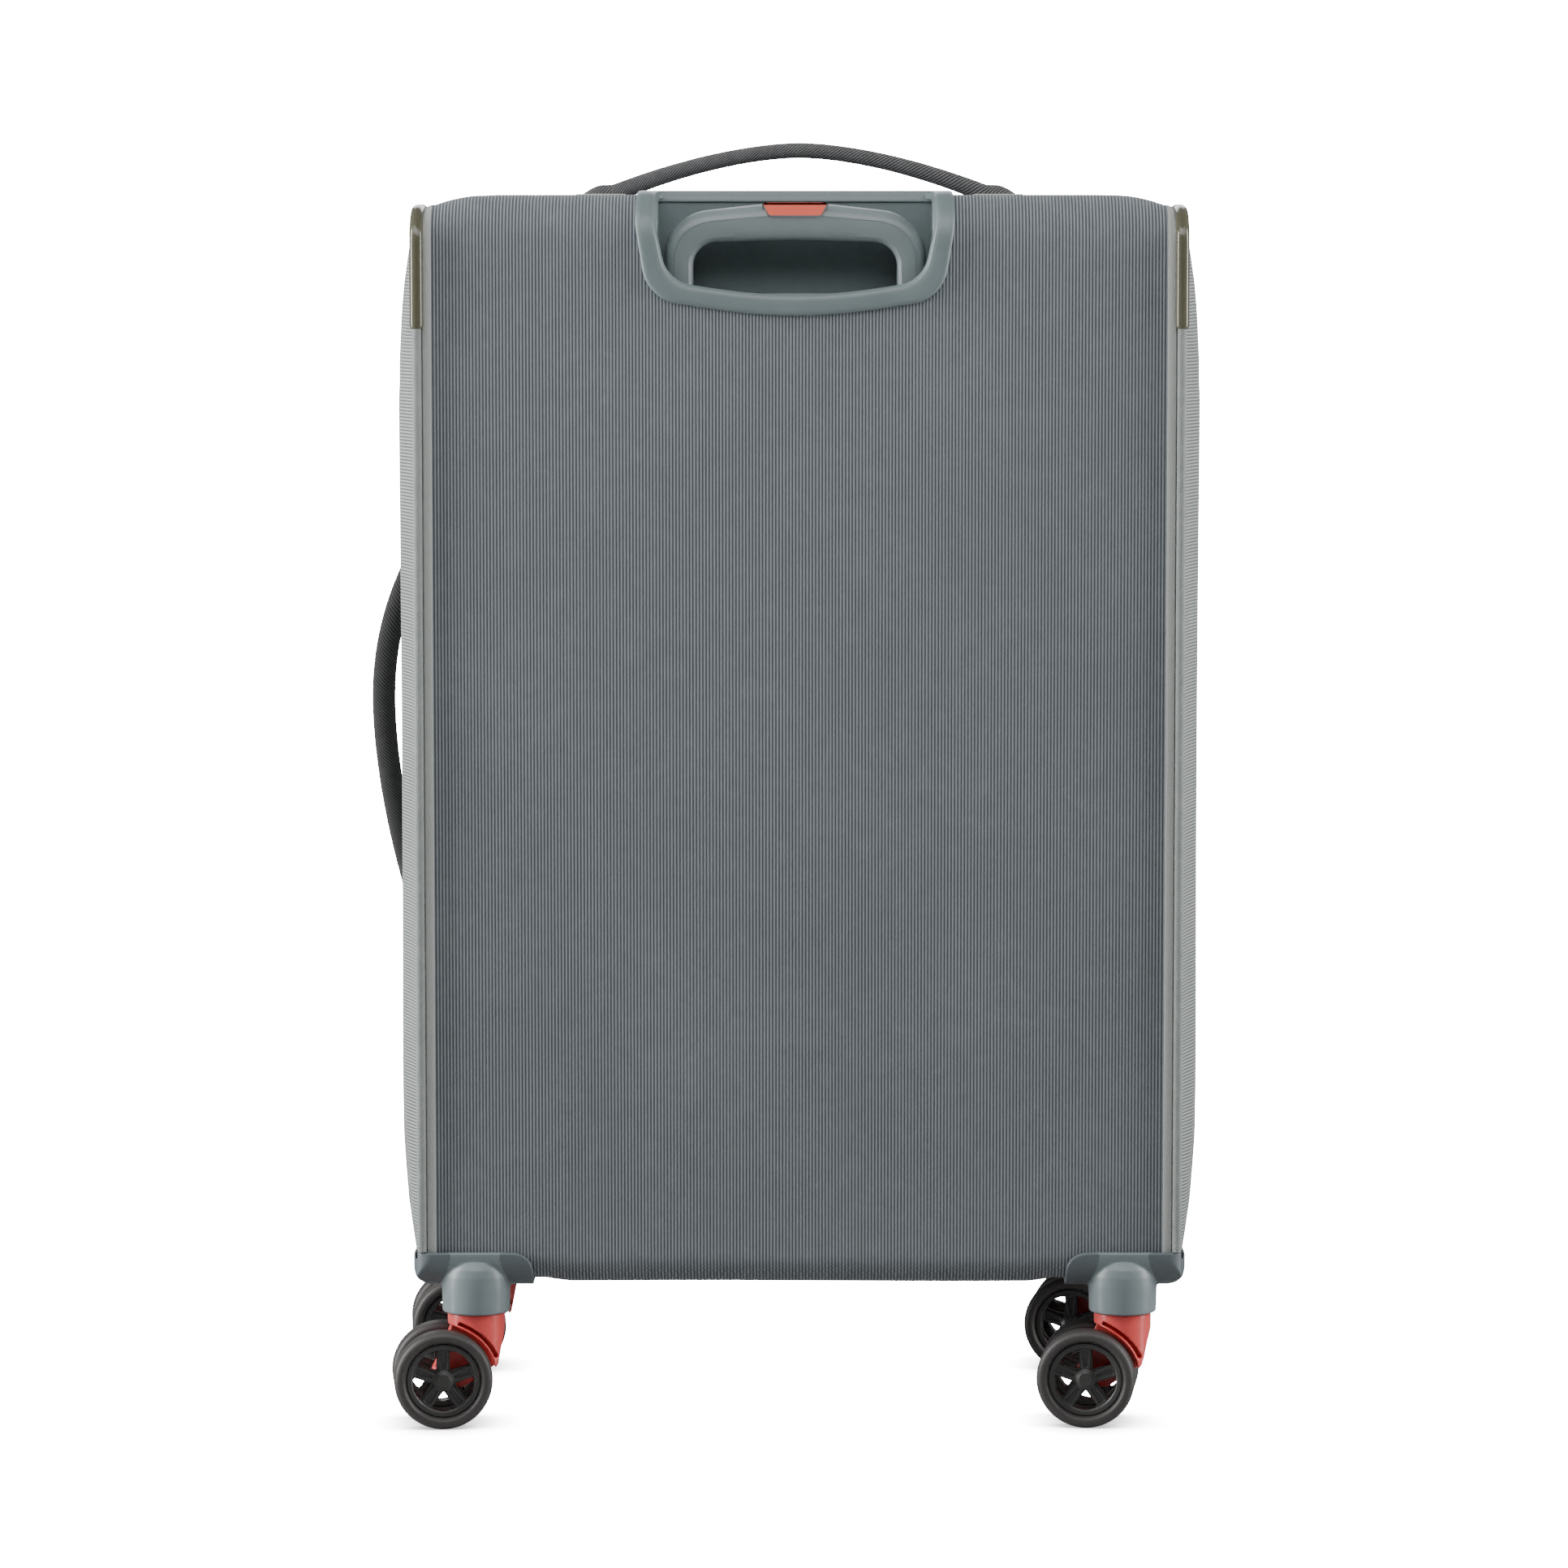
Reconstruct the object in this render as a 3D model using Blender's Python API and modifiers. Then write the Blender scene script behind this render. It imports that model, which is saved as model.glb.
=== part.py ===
"""Softside upright suitcase on four twin-wheel casters: standing, lid zipped shut, trolley down.

Metres, +Z up. The design is drawn with x from the middle of the case, y from its back panel
towards the lid and z from the floor. The empty "suitcase_frame" carries every piece and moves
that drawing so that the origin is on the floor, under the middle of the whole object.
"""

import math

import bmesh
import bpy
from mathutils import Matrix, Vector

# Clearances
GAP = 0.0003  # between solids that touch on the real object
RUN = 0.00006  # round a shaft that turns

# Wheels
WHEEL_RADIUS = 0.0285
WHEEL_WIDTH = 0.0150
WHEEL_SPACING = 0.0320
TREAD_CORNER = 0.0028
TRAIL = WHEEL_RADIUS - 0.0085  # axle behind the swivel axis
HUB_RADIUS = WHEEL_RADIUS - 0.0071
HUB_WIDTH = 0.0110
AXLE_RADIUS = 0.0028
REST_YAW = {"rear_left": 5.5, "rear_right": -6.5, "front_left": 4.0, "front_right": -9.0}

# Case body
BODY_BOTTOM = 2 * WHEEL_RADIUS + 0.028
BODY_HEIGHT = 0.625
BODY_TOP = BODY_BOTTOM + BODY_HEIGHT
SHELL_DEPTH = 0.207  # back panel to zip line
SEAM_X = 0.2145  # side seam from the middle of the case
WALL = 0.006  # fabric, foam and board together
REAR_RADIUS = 0.026  # where the back panel turns over the top and under the bottom
SIDE_EDGE = 0.0008  # side panel at its seam
SIDE_CROWN = ((0.008, 0.0047), (0.025, 0.003), (0.035, 0.002), (0.030, 0.0023))  # in, out
PANEL_CORNER = 0.003
SIDE_OUT = SEAM_X + SIDE_EDGE + sum(rise for _, rise in SIDE_CROWN)
PIPING_RADIUS = 0.00275
GUARD_RADIUS = 0.004
GUARD_BOTTOM = BODY_TOP - 0.077
GUARD_REACH = 0.062  # how far each guard runs forward over the top

# Casters
SWIVEL_X = SEAM_X - 0.0269
SWIVEL_REAR_Y = 0.010
SWIVEL_FRONT_Y = SHELL_DEPTH - 0.025
DOME_RADIUS = 0.0202
DOME_SIDES = 20
DOME_BOTTOM = BODY_BOTTOM - 0.0193
DOME_TOP = BODY_BOTTOM + 0.0134
PLATE = 0.0045  # corner guard's thickness
PLATE_OUT = SEAM_X + 0.009
PLATE_IN = PLATE_OUT - 0.0695
PLATE_TOP = BODY_BOTTOM + 0.0165
PLATE_LENGTH = 0.066
PLATE_SIDE = 0.0017  # the guard's thickness on the side panel
CORE_RADIUS = 0.0075  # inside the guard's lower corner, round the edge of the side panel
PIN_RADIUS = 0.004
PIN_HEAD = 0.006  # from the pin's upper end to the dome's top
PIN_DEPTH = 0.012  # the pin's length inside the fork
FORK_TOP = DOME_BOTTOM - GAP
CROWN_RADIUS = 0.0166
WHEEL_CLEAR = 0.0022  # between the fork's hood and the tread
WEB_HALF = 0.0052
WEB_RADIUS = 0.0078  # the web round the axle
BOSS_RADIUS = 0.0062
BOSS_HALF = WHEEL_SPACING / 2 - HUB_WIDTH / 2 - GAP

# Telescopic trolley
TROLLEY_X = -0.0025
TUBE_SPACING = 0.133
TUBE_WALL = 0.0010
TUBE_FIT = 0.0004  # all round, between one stage and the next
OUTER_TUBE = (0.0210, 0.0164)  # width, depth
MIDDLE_TUBE = tuple(side - 2 * (TUBE_WALL + TUBE_FIT) for side in OUTER_TUBE)
INNER_TUBE = tuple(side - 2 * (TUBE_WALL + TUBE_FIT) for side in MIDDLE_TUBE)
TUBE_CORNER = 0.003
FOOT_HEIGHT = 0.024
GRIP_LEG = 0.0165
GRIP_HALF = TUBE_SPACING / 2 + GRIP_LEG / 2
GRIP_DEPTH = 0.022
GRIP_FOOT_RADIUS = 0.007
TROLLEY_Y = 0.007 + GRIP_DEPTH / 2
TRAY_HALF = GRIP_HALF + 0.0058
TRAY_WALL = 0.0025
TRAY_FLOOR = BODY_TOP - 0.056
TRAY_BACK = TROLLEY_Y + GRIP_DEPTH / 2 + 0.009  # depth of the recess
FLANGE = 0.0025  # the rim's thickness on the fabric
GRIP_TOP = BODY_TOP - 0.0045
GRIP_BOTTOM = TRAY_FLOOR + 0.0022
WINDOW_TOP = GRIP_TOP - 0.0211
BUTTON_HALF = 0.0182
BUTTON_FOOT_HALF = 0.0150
BUTTON_HEIGHT = 0.0068
BUTTON_TRAVEL = 0.003
BUTTON_LIP = 0.0012
BUTTON_BACK = 0.004  # from the button to the grip's front face
RIDGE = 0.0024  # the grip's wall behind the button's lip
SADDLE = 0.0020  # the button's thickness over that wall
BAIL_RADIUS = 0.0016
BAIL_Z = GRIP_TOP - BUTTON_HEIGHT - GAP - BAIL_RADIUS
OUTER_TOP = TRAY_FLOOR - TRAY_WALL - GAP
OUTER_BOTTOM = BODY_BOTTOM + WALL + FOOT_HEIGHT + 2 * GAP
MIDDLE_TOP = TRAY_FLOOR + 0.0012
MIDDLE_BOTTOM = OUTER_BOTTOM + 0.010
INNER_TOP = GRIP_BOTTOM - GAP
INNER_BOTTOM = MIDDLE_BOTTOM + 0.012

# Carry handles
HANDLE_Y = SHELL_DEPTH / 2
TOP_HANDLE_HALF = 0.128
TOP_HANDLE_FOOT = 0.117  # where the arch meets the top, from its middle
TOP_HANDLE_RISE = 0.032
TOP_HANDLE_RADIUS = 0.0050
SIDE_HANDLE_RISE = 0.0260
SIDE_HANDLE_Z = (BODY_BOTTOM + 0.197, BODY_BOTTOM + 0.421)
SIDE_HANDLE_PEAK = BODY_BOTTOM + 0.329
SIDE_HANDLE_FOOT = 0.90  # where the arch meets the side, as a share of the way to its end
SIDE_HANDLE_RADIUS = 0.0066
HANDLE_END_RADIUS = 0.0024
HANDLE_CLEAR = 0.0012  # between a handle's ends and the panel they are sewn to

# Lid and its pocket
LID_DEPTH = 0.055
LID_HALF = SEAM_X + 0.002
LID_WALL = 0.005
LID_RADIUS = 0.016
LID_SHY = (0.002, 0.001)  # below and above: the lid is a little shorter than the shell
LID_FRONT = SHELL_DEPTH + 2 * GAP + LID_DEPTH
LID_HINGE_X = (LID_HALF + SIDE_OUT + 0.0008) / 2
POCKET_THICK = 0.012
POCKET_MARGIN = 0.016
POCKET_TOP = BODY_TOP - 0.065

# Zip sliders and pullers
SLIDER = (0.0040, 0.0090, 0.0105)  # proud, across, along
SLIDER_GAP = 0.036  # from the middle of one main slider to the other: a puller hangs between
SLIDER_Z = BODY_TOP - 0.150
SLIDER_STAND = 0.0031  # out from the side panel's seam
PULLER = (0.0016, 0.0070, 0.0260)
PULLER_DROP = 0.002  # the puller's upper end above the slider's middle
POCKET_ZIP_DROP = 0.020
POCKET_SLIDER_X = -0.150

COLLECTION = "softside_upright_suitcase"
FABRIC_GREY = (0.115, 0.130, 0.134)
PLASTIC_GREY = (0.122, 0.155, 0.158)
RED = (0.60, 0.055, 0.050)
BLACK = (0.030, 0.031, 0.030)
STEEL = (0.55, 0.56, 0.57)


# Scene

def clear_scene():
    for obj in list(bpy.data.objects):
        bpy.data.objects.remove(obj, do_unlink=True)


def collection(name):
    made = bpy.data.collections.new(name)
    bpy.context.scene.collection.children.link(made)
    return made


def empty(name, place, parent=None, yaw=0.0):
    made = bpy.data.objects.new(name, None)
    made.location = place
    made.rotation_euler = (0, 0, math.radians(yaw))
    made.parent = parent
    PARTS.objects.link(made)
    return made


def finish(obj, colour, roughness, metallic=0.0):
    material = bpy.data.materials.new(obj.name + "_finish")
    material.use_nodes = True
    shader = material.node_tree.nodes["Principled BSDF"]
    shader.inputs["Base Color"].default_value = (*colour, 1)
    shader.inputs["Roughness"].default_value = roughness
    shader.inputs["Metallic"].default_value = metallic
    obj.data.materials.clear()
    obj.data.materials.append(material)
    return obj


def fabric(obj):
    return finish(obj, FABRIC_GREY, 0.85)


def plastic(obj):
    return finish(obj, PLASTIC_GREY, 0.42)


def red_plastic(obj):
    return finish(obj, RED, 0.38)


def metal(obj):
    return finish(obj, STEEL, 0.3, 1.0)


def place_mesh(name, mesh, place=(0, 0, 0), parent=None, cutter=False):
    """An object whose mesh was drawn in its parent's coordinates, with its origin at place."""
    mesh.transform(Matrix.Translation(-Vector(place)))
    mesh.name = name
    obj = bpy.data.objects.new(name, mesh)
    obj.location = place
    obj.parent = parent or ROOT
    (CUTTERS if cutter else PARTS).objects.link(obj)
    if cutter:
        obj.hide_render = True
        obj.display_type = "WIRE"
    return obj


# Outlines

def fillet(corners, step=30):
    """Points round a closed outline of (u, v, radius) corners, with each corner rounded."""
    points = []
    for i, (u, v, radius) in enumerate(corners):
        here = Vector((u, v))
        if radius <= 0:
            points.append(here)
            continue
        before = (Vector(corners[i - 1][:2]) - here).normalized()
        after = (Vector(corners[(i + 1) % len(corners)][:2]) - here).normalized()
        half = before.angle(after) / 2
        centre = here + (before + after).normalized() * radius / math.sin(half)
        start = here + before * radius / math.tan(half) - centre
        turn = start.angle_signed(here + after * radius / math.tan(half) - centre)
        count = max(1, round(abs(math.degrees(turn)) / step))
        for k in range(count + 1):
            points.append(centre + Matrix.Rotation(-turn * k / count, 2) @ start)
    return points


def circle(u, v, radius, count):
    angles = [2 * math.pi * k / count for k in range(count)]
    return [Vector((u + radius * math.cos(a), v + radius * math.sin(a))) for a in angles]


PLANES = {
    "XY": Matrix.Identity(4),
    "XZ": Matrix.Rotation(math.pi / 2, 4, "X"),
    "YZ": Matrix.Rotation(math.pi / 2, 4, "Z") @ Matrix.Rotation(math.pi / 2, 4, "X"),
}
NORMAL = {"XY": Vector((0, 0, 1)), "XZ": Vector((0, 1, 0)), "YZ": Vector((1, 0, 0))}


# Solids

def mesh_of(curve):
    """A curve made into a mesh whose caps are welded to its sides."""
    maker = bpy.data.objects.new("maker", curve)
    bpy.context.scene.collection.objects.link(maker)
    graph = bpy.context.evaluated_depsgraph_get()
    mesh = bpy.data.meshes.new_from_object(maker.evaluated_get(graph))
    bpy.data.objects.remove(maker)
    bm = bmesh.new()
    bm.from_mesh(mesh)
    bmesh.ops.remove_doubles(bm, verts=bm.verts, dist=1e-6)
    bmesh.ops.recalc_face_normals(bm, faces=bm.faces)
    bm.to_mesh(mesh)
    bm.free()
    return mesh


def slab_mesh(outlines, low, high, plane):
    """A flat outline, with any holes, pushed from low to high across its plane."""
    curve = bpy.data.curves.new("outline", "CURVE")
    curve.dimensions = "2D"
    curve.fill_mode = "BOTH"
    curve.extrude = (high - low) / 2
    for outline in outlines:
        spline = curve.splines.new("POLY")
        spline.points.add(len(outline) - 1)
        for point, at in zip(spline.points, outline):
            point.co = (at[0], at[1], 0, 1)
        spline.use_cyclic_u = True
    mesh = mesh_of(curve)
    mesh.transform(PLANES[plane])
    mesh.transform(Matrix.Translation(NORMAL[plane] * (low + high) / 2))
    return mesh


def slab(name, outlines, low, high, plane, **where):
    return place_mesh(name, slab_mesh(outlines, low, high, plane), **where)


def box(name, low, high, **where):
    low = Vector(low)
    size = Vector(high) - low
    bm = bmesh.new()
    bmesh.ops.create_cube(bm, size=1)
    bmesh.ops.scale(bm, verts=bm.verts, vec=size)
    bmesh.ops.translate(bm, verts=bm.verts, vec=low + size / 2)
    mesh = bpy.data.meshes.new(name)
    bm.to_mesh(mesh)
    bm.free()
    return place_mesh(name, mesh, **where)


def rod(name, radius, start, end, sides=12, **where):
    """A round bar from start to end."""
    start = Vector(start)
    along = Vector(end) - start
    bm = bmesh.new()
    bmesh.ops.create_cone(
        bm, cap_ends=True, segments=sides, radius1=radius, radius2=radius, depth=along.length
    )
    turn = Vector((0, 0, 1)).rotation_difference(along).to_matrix()
    bmesh.ops.rotate(bm, verts=bm.verts, matrix=turn)
    bmesh.ops.translate(bm, verts=bm.verts, vec=start + along / 2)
    mesh = bpy.data.meshes.new(name)
    bm.to_mesh(mesh)
    bm.free()
    obj = place_mesh(name, mesh, **where)
    smooth(obj)
    return obj


def turned(name, profile, steps, turn=None, **where):
    """A profile of (radius, height), top to bottom down its outer side, turned about +Z."""
    mesh = bpy.data.meshes.new(name)
    points = [(radius, 0, height) for radius, height in profile]
    mesh.from_pydata(points, [(k, k + 1) for k in range(len(points) - 1)], [])
    obj = place_mesh(name, mesh, **where)
    if turn is not None:
        obj.matrix_local = Matrix.Translation(obj.location) @ turn
    screw = obj.modifiers.new("turn", "SCREW")
    screw.steps = steps
    screw.render_steps = steps
    screw.use_merge_vertices = True
    screw.merge_threshold = 0.00005
    return obj


def swept(name, points, radii, sides=2, **where):
    """A bar of changing radius along points."""
    curve = bpy.data.curves.new(name, "CURVE")
    curve.dimensions = "3D"
    curve.bevel_depth = 1.0
    curve.bevel_resolution = sides
    curve.use_fill_caps = True
    spline = curve.splines.new("POLY")
    spline.points.add(len(points) - 1)
    for point, at, radius in zip(spline.points, points, radii):
        point.co = (*at, 1)
        point.radius = radius
    obj = place_mesh(name, mesh_of(curve), **where)
    smooth(obj)
    return obj


def smooth(obj, angle=40):
    obj.data.shade_smooth()
    obj.data.set_sharp_from_angle(angle=math.radians(angle))


def boolean(obj, other, operation):
    modifier = obj.modifiers.new(operation.lower(), "BOOLEAN")
    modifier.operation = operation
    modifier.object = other
    return obj


def cut(obj, *others):
    for other in others:
        boolean(obj, other, "DIFFERENCE")
    return obj


def join(obj, *others):
    for other in others:
        boolean(obj, other, "UNION")
    return obj


def within(obj, *others):
    for other in others:
        boolean(obj, other, "INTERSECT")
    return obj


def soften(obj, width, segments=2, angle=35):
    bevel = obj.modifiers.new("soft edges", "BEVEL")
    bevel.width = width
    bevel.segments = segments
    bevel.limit_method = "ANGLE"
    bevel.angle_limit = math.radians(angle)
    bevel.use_clamp_overlap = True
    return obj


def block_outline(offset, front=SHELL_DEPTH):
    """The case from the side, as (y, z) corners, grown by offset behind, above and below."""
    radius = REAR_RADIUS + offset
    return [
        (front, BODY_TOP + offset, 0),
        (-offset, BODY_TOP + offset, radius),
        (-offset, BODY_BOTTOM - offset, radius),
        (front, BODY_BOTTOM - offset, 0),
    ]


def case_block(name, offset, half_width, front=SHELL_DEPTH):
    outline = fillet(block_outline(offset, front))
    return slab(name, [outline], -half_width, half_width, "YZ", cutter=True)


# Case body

def make_shell_wrap(tray_space, dome_spaces):
    inner = [(y, z, radius) for y, z, radius in reversed(block_outline(-WALL))]
    outline = fillet(block_outline(0) + inner)
    wrap = slab("shell_wrap", [outline], -SEAM_X + GAP, SEAM_X - GAP, "YZ")
    return fabric(cut(wrap, tray_space, *dome_spaces))


def panel_ring(inset):
    """The side panel's edge moved in by inset, as (y, z) points, the same number for any inset."""
    rear = max(REAR_RADIUS - inset, PANEL_CORNER)
    low = BODY_BOTTOM + inset
    high = BODY_TOP - inset
    front = SHELL_DEPTH - inset
    return fillet([(front, high, PANEL_CORNER), (inset, high, rear), (inset, low, rear),
                   (front, low, PANEL_CORNER)])


def make_side_panel(side, name):
    """A crowned panel: rings that climb outwards from the seam, bridged one to the next."""
    steps = [(GAP, SEAM_X), (GAP, SEAM_X + SIDE_EDGE)]
    for inset, rise in SIDE_CROWN:
        steps.append((steps[-1][0] + inset, steps[-1][1] + rise))
    bm = bmesh.new()
    rings = []
    for inset, x in steps:
        ring = [bm.verts.new((side * x, y, z)) for y, z in panel_ring(inset)]
        rings.append([bm.edges.new((a, b)) for a, b in zip(ring, ring[1:] + ring[:1])])
        if x in (steps[0][1], steps[-1][1]):
            bm.faces.new(ring)
    for lower, upper in zip(rings, rings[1:]):
        bmesh.ops.bridge_loops(bm, edges=lower + upper)
    bmesh.ops.recalc_face_normals(bm, faces=bm.faces)
    mesh = bpy.data.meshes.new(name)
    bm.to_mesh(mesh)
    bm.free()
    return fabric(place_mesh(name, mesh))


def make_piping(side, name):
    x = side * (SEAM_X + SIDE_EDGE + PIPING_RADIUS + GAP / 2)
    y = -0.0013
    low = PLATE_TOP + 2 * GAP
    high = GUARD_BOTTOM - 2 * GAP
    heights = [low + (high - low) * k / 6 for k in range(7)]
    points = [(x, y, z) for z in heights]
    return fabric(swept(name, points, [PIPING_RADIUS] * len(points)))


def make_piping_guard(side, name):
    x = side * (SEAM_X + SIDE_EDGE + GUARD_RADIUS)
    proud = GUARD_RADIUS * 0.66
    corner = REAR_RADIUS + proud
    path = fillet(
        [
            (-proud, GUARD_BOTTOM, 0),
            (-proud, BODY_TOP + proud, corner),
            (GUARD_REACH, BODY_TOP + proud, 0),
        ],
        step=15,
    )
    points = [(x, y, z) for y, z in path]
    radii = [GUARD_RADIUS] * len(points)
    guard = swept(name, points, radii, sides=1)
    return finish(guard, (0.16, 0.17, 0.14), 0.2)


# Handle tray

def bowl(top_half, foot_half, foot_z, middle_z, radius):
    """The tray's outline from behind: wide at the top, with a sagging lower edge."""
    top = BODY_TOP + 0.03
    corners = [
        (-top_half, top, 0),
        (-foot_half, foot_z, radius),
        (0, middle_z, 0.25),
        (foot_half, foot_z, radius),
        (top_half, top, 0),
    ]
    return [(u + TROLLEY_X, v) for u, v in fillet(corners, step=12)]


def tray_outline(grow):
    half = TRAY_HALF + grow
    low = TRAY_FLOOR - TRAY_WALL - grow
    corners = [
        (TROLLEY_X - half, BODY_TOP + 0.03, 0),
        (TROLLEY_X - half, low, 0.014 + grow),
        (TROLLEY_X + half, low, 0.014 + grow),
        (TROLLEY_X + half, BODY_TOP + 0.03, 0),
    ]
    return fillet(corners)


def tube_x(side):
    return TROLLEY_X + side * TUBE_SPACING / 2


def make_handle_tray():
    depth = TRAY_BACK + TRAY_WALL
    rim = bowl(TRAY_HALF + 0.013, TRAY_HALF + 0.006, TRAY_FLOOR - 0.0025, TRAY_FLOOR - 0.015,
               0.018)
    opening = bowl(TRAY_HALF + 0.001, TRAY_HALF - 0.0045, TRAY_FLOOR + 0.007, TRAY_FLOOR - 0.003,
                   0.018)
    skin = case_block("rim_skin", FLANGE + GAP, SEAM_X)
    fabric_face = case_block("rim_seat", GAP, SEAM_X - 0.01)
    body = slab("tray_body", [tray_outline(0)], -0.01, depth, "XZ", cutter=True)
    body_limit = case_block("tray_limit", GAP + FLANGE / 2, SEAM_X)
    within(body, body_limit)
    mouth = slab("tray_mouth", [opening], -0.02, TRAY_BACK, "XZ", cutter=True)
    half = TRAY_HALF - TRAY_WALL
    high = BODY_TOP - REAR_RADIUS + 0.006
    room = slab(
        "tray_room",
        [fillet([(TROLLEY_X - half, high, 0), (TROLLEY_X - half, TRAY_FLOOR, 0.012),
                 (TROLLEY_X + half, TRAY_FLOOR, 0.012), (TROLLEY_X + half, high, 0)])],
        TRAY_WALL, TRAY_BACK, "XZ", cutter=True,
    )
    tray = slab("handle_tray", [rim], -0.01, depth + 0.006, "XZ")
    within(tray, skin)
    cut(tray, fabric_face)
    join(tray, body)
    cut(tray, mouth, room)
    for side in (-1, 1):
        width, deep = MIDDLE_TUBE
        hole = box(
            f"tube_hole_{side}",
            (tube_x(side) - width / 2 - 2 * GAP, TROLLEY_Y - deep / 2 - 2 * GAP, TRAY_FLOOR - 0.02),
            (tube_x(side) + width / 2 + 2 * GAP, TROLLEY_Y + deep / 2 + 2 * GAP, TRAY_FLOOR + 0.02),
            cutter=True,
        )
        cut(tray, hole)
    return plastic(tray)


def make_tray_space():
    depth = TRAY_BACK + TRAY_WALL + GAP
    return slab("tray_space", [tray_outline(GAP)], -0.02, depth, "XZ", cutter=True)


# Trolley

def tube(name, side, size, low, high):
    """A rectangular tube with rounded corners, standing on the trolley's line."""
    width, deep = size
    loops = []
    for inset in (0, TUBE_WALL):
        u = width / 2 - inset
        v = deep / 2 - inset
        corner = TUBE_CORNER - inset
        corners = [(-u, -v, corner), (u, -v, corner), (u, v, corner), (-u, v, corner)]
        loops.append([(tube_x(side) + a, TROLLEY_Y + b) for a, b in fillet(corners, 45)])
    return metal(slab(name, loops, low, high, "XY"))


def make_tube_foot():
    """The block that both outer tubes stand on, rounded to sit in the case's rear lower corner."""
    width, deep = OUTER_TUBE
    half = TUBE_SPACING / 2 + width / 2 + 0.004
    low = BODY_BOTTOM + WALL + GAP
    back = WALL + GAP
    front = TROLLEY_Y + deep / 2 + 0.003
    outline = fillet([(back, low, REAR_RADIUS - WALL), (front, low, 0.002),
                      (front, low + FOOT_HEIGHT, 0.002), (back, low + FOOT_HEIGHT, 0)])
    foot = slab("tube_foot", [outline], TROLLEY_X - half, TROLLEY_X + half, "YZ")
    return finish(foot, BLACK, 0.6)


def grip_outline():
    inner = GRIP_HALF - GRIP_LEG
    return [
        (TROLLEY_X - GRIP_HALF, GRIP_BOTTOM, GRIP_FOOT_RADIUS),
        (TROLLEY_X - GRIP_HALF, GRIP_TOP - 0.006, 0.026),
        (TROLLEY_X, GRIP_TOP + 0.002, 0.20),
        (TROLLEY_X + GRIP_HALF, GRIP_TOP - 0.006, 0.026),
        (TROLLEY_X + GRIP_HALF, GRIP_BOTTOM, GRIP_FOOT_RADIUS),
        (TROLLEY_X + inner, GRIP_BOTTOM, 0),
        (TROLLEY_X + inner, WINDOW_TOP, 0.013),
        (TROLLEY_X - inner, WINDOW_TOP, 0.013),
        (TROLLEY_X - inner, GRIP_BOTTOM, 0),
    ]


def make_grip():
    front = TROLLEY_Y - GRIP_DEPTH / 2
    back = TROLLEY_Y + GRIP_DEPTH / 2
    grip = slab("grip", [fillet(grip_outline(), 22.5)], front, back, "XZ")
    soften(grip, 0.003, 1)
    half = BUTTON_HALF + 2 * GAP
    foot = GRIP_TOP - BUTTON_HEIGHT - BUTTON_TRAVEL - 2 * GAP
    well = box("button_well", (TROLLEY_X - half, front + RIDGE, foot),
               (TROLLEY_X + half, back - BUTTON_BACK, GRIP_TOP + 0.01), cutter=True)
    saddle_z = GRIP_TOP - SADDLE - BUTTON_TRAVEL - GAP
    saddle = box("button_saddle", (TROLLEY_X - half, front - 0.01, saddle_z),
                 (TROLLEY_X + half, front + RIDGE + 0.001, GRIP_TOP + 0.01), cutter=True)
    room = BAIL_RADIUS + 3 * GAP
    bar = box("bail_bar_room",
              (tube_x(-1) - room, TROLLEY_Y - room, BAIL_Z - room - BUTTON_TRAVEL),
              (tube_x(1) + room, TROLLEY_Y + room, BAIL_Z + room + 0.001), cutter=True)
    cut(grip, well, saddle, bar)
    for side in (-1, 1):
        wide = room + 0.001
        leg = box(f"bail_leg_room_{side}",
                  (tube_x(side) - wide, TROLLEY_Y - room, GRIP_BOTTOM - 0.01),
                  (tube_x(side) + wide, TROLLEY_Y + room, BAIL_Z + room + 0.001), cutter=True)
        cut(grip, leg)
    return plastic(grip)


def make_release_button():
    front = TROLLEY_Y - GRIP_DEPTH / 2 - GAP - BUTTON_LIP
    back = TROLLEY_Y + GRIP_DEPTH / 2 - BUTTON_BACK - GAP
    top = GRIP_TOP + GAP
    foot = GRIP_TOP - BUTTON_HEIGHT
    outline = [
        (TROLLEY_X - BUTTON_HALF, top, 0.001),
        (TROLLEY_X - BUTTON_HALF, top - 0.002, 0.0005),
        (TROLLEY_X - BUTTON_FOOT_HALF, foot, 0.001),
        (TROLLEY_X + BUTTON_FOOT_HALF, foot, 0.001),
        (TROLLEY_X + BUTTON_HALF, top - 0.002, 0.0005),
        (TROLLEY_X + BUTTON_HALF, top, 0.001),
    ]
    button = slab("release_button", [fillet(outline)], front, back, "XZ")
    ridge = box(
        "button_ridge_room",
        (TROLLEY_X - 0.03, front + BUTTON_LIP, foot - 0.01),
        (TROLLEY_X + 0.03, TROLLEY_Y - GRIP_DEPTH / 2 + RIDGE + GAP, GRIP_TOP - SADDLE),
        cutter=True,
    )
    return red_plastic(cut(button, ridge))


def make_release_bail():
    """The bar under the button, and the two rods down the inner tubes that draw the catches."""
    corner = 0.004
    path = fillet(
        [(tube_x(-1), INNER_BOTTOM + 0.015, 0), (tube_x(-1), BAIL_Z, corner),
         (tube_x(1), BAIL_Z, corner), (tube_x(1), INNER_BOTTOM + 0.015, 0)], 30)
    points = [(u, TROLLEY_Y, v) for u, v in path]
    return metal(swept("release_bail", points, [BAIL_RADIUS] * len(points)))


# Casters

def caster_places():
    for row, y in (("rear", SWIVEL_REAR_Y), ("front", SWIVEL_FRONT_Y)):
        for hand, side in (("left", -1), ("right", 1)):
            yield f"{row}_{hand}", side, y


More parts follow.
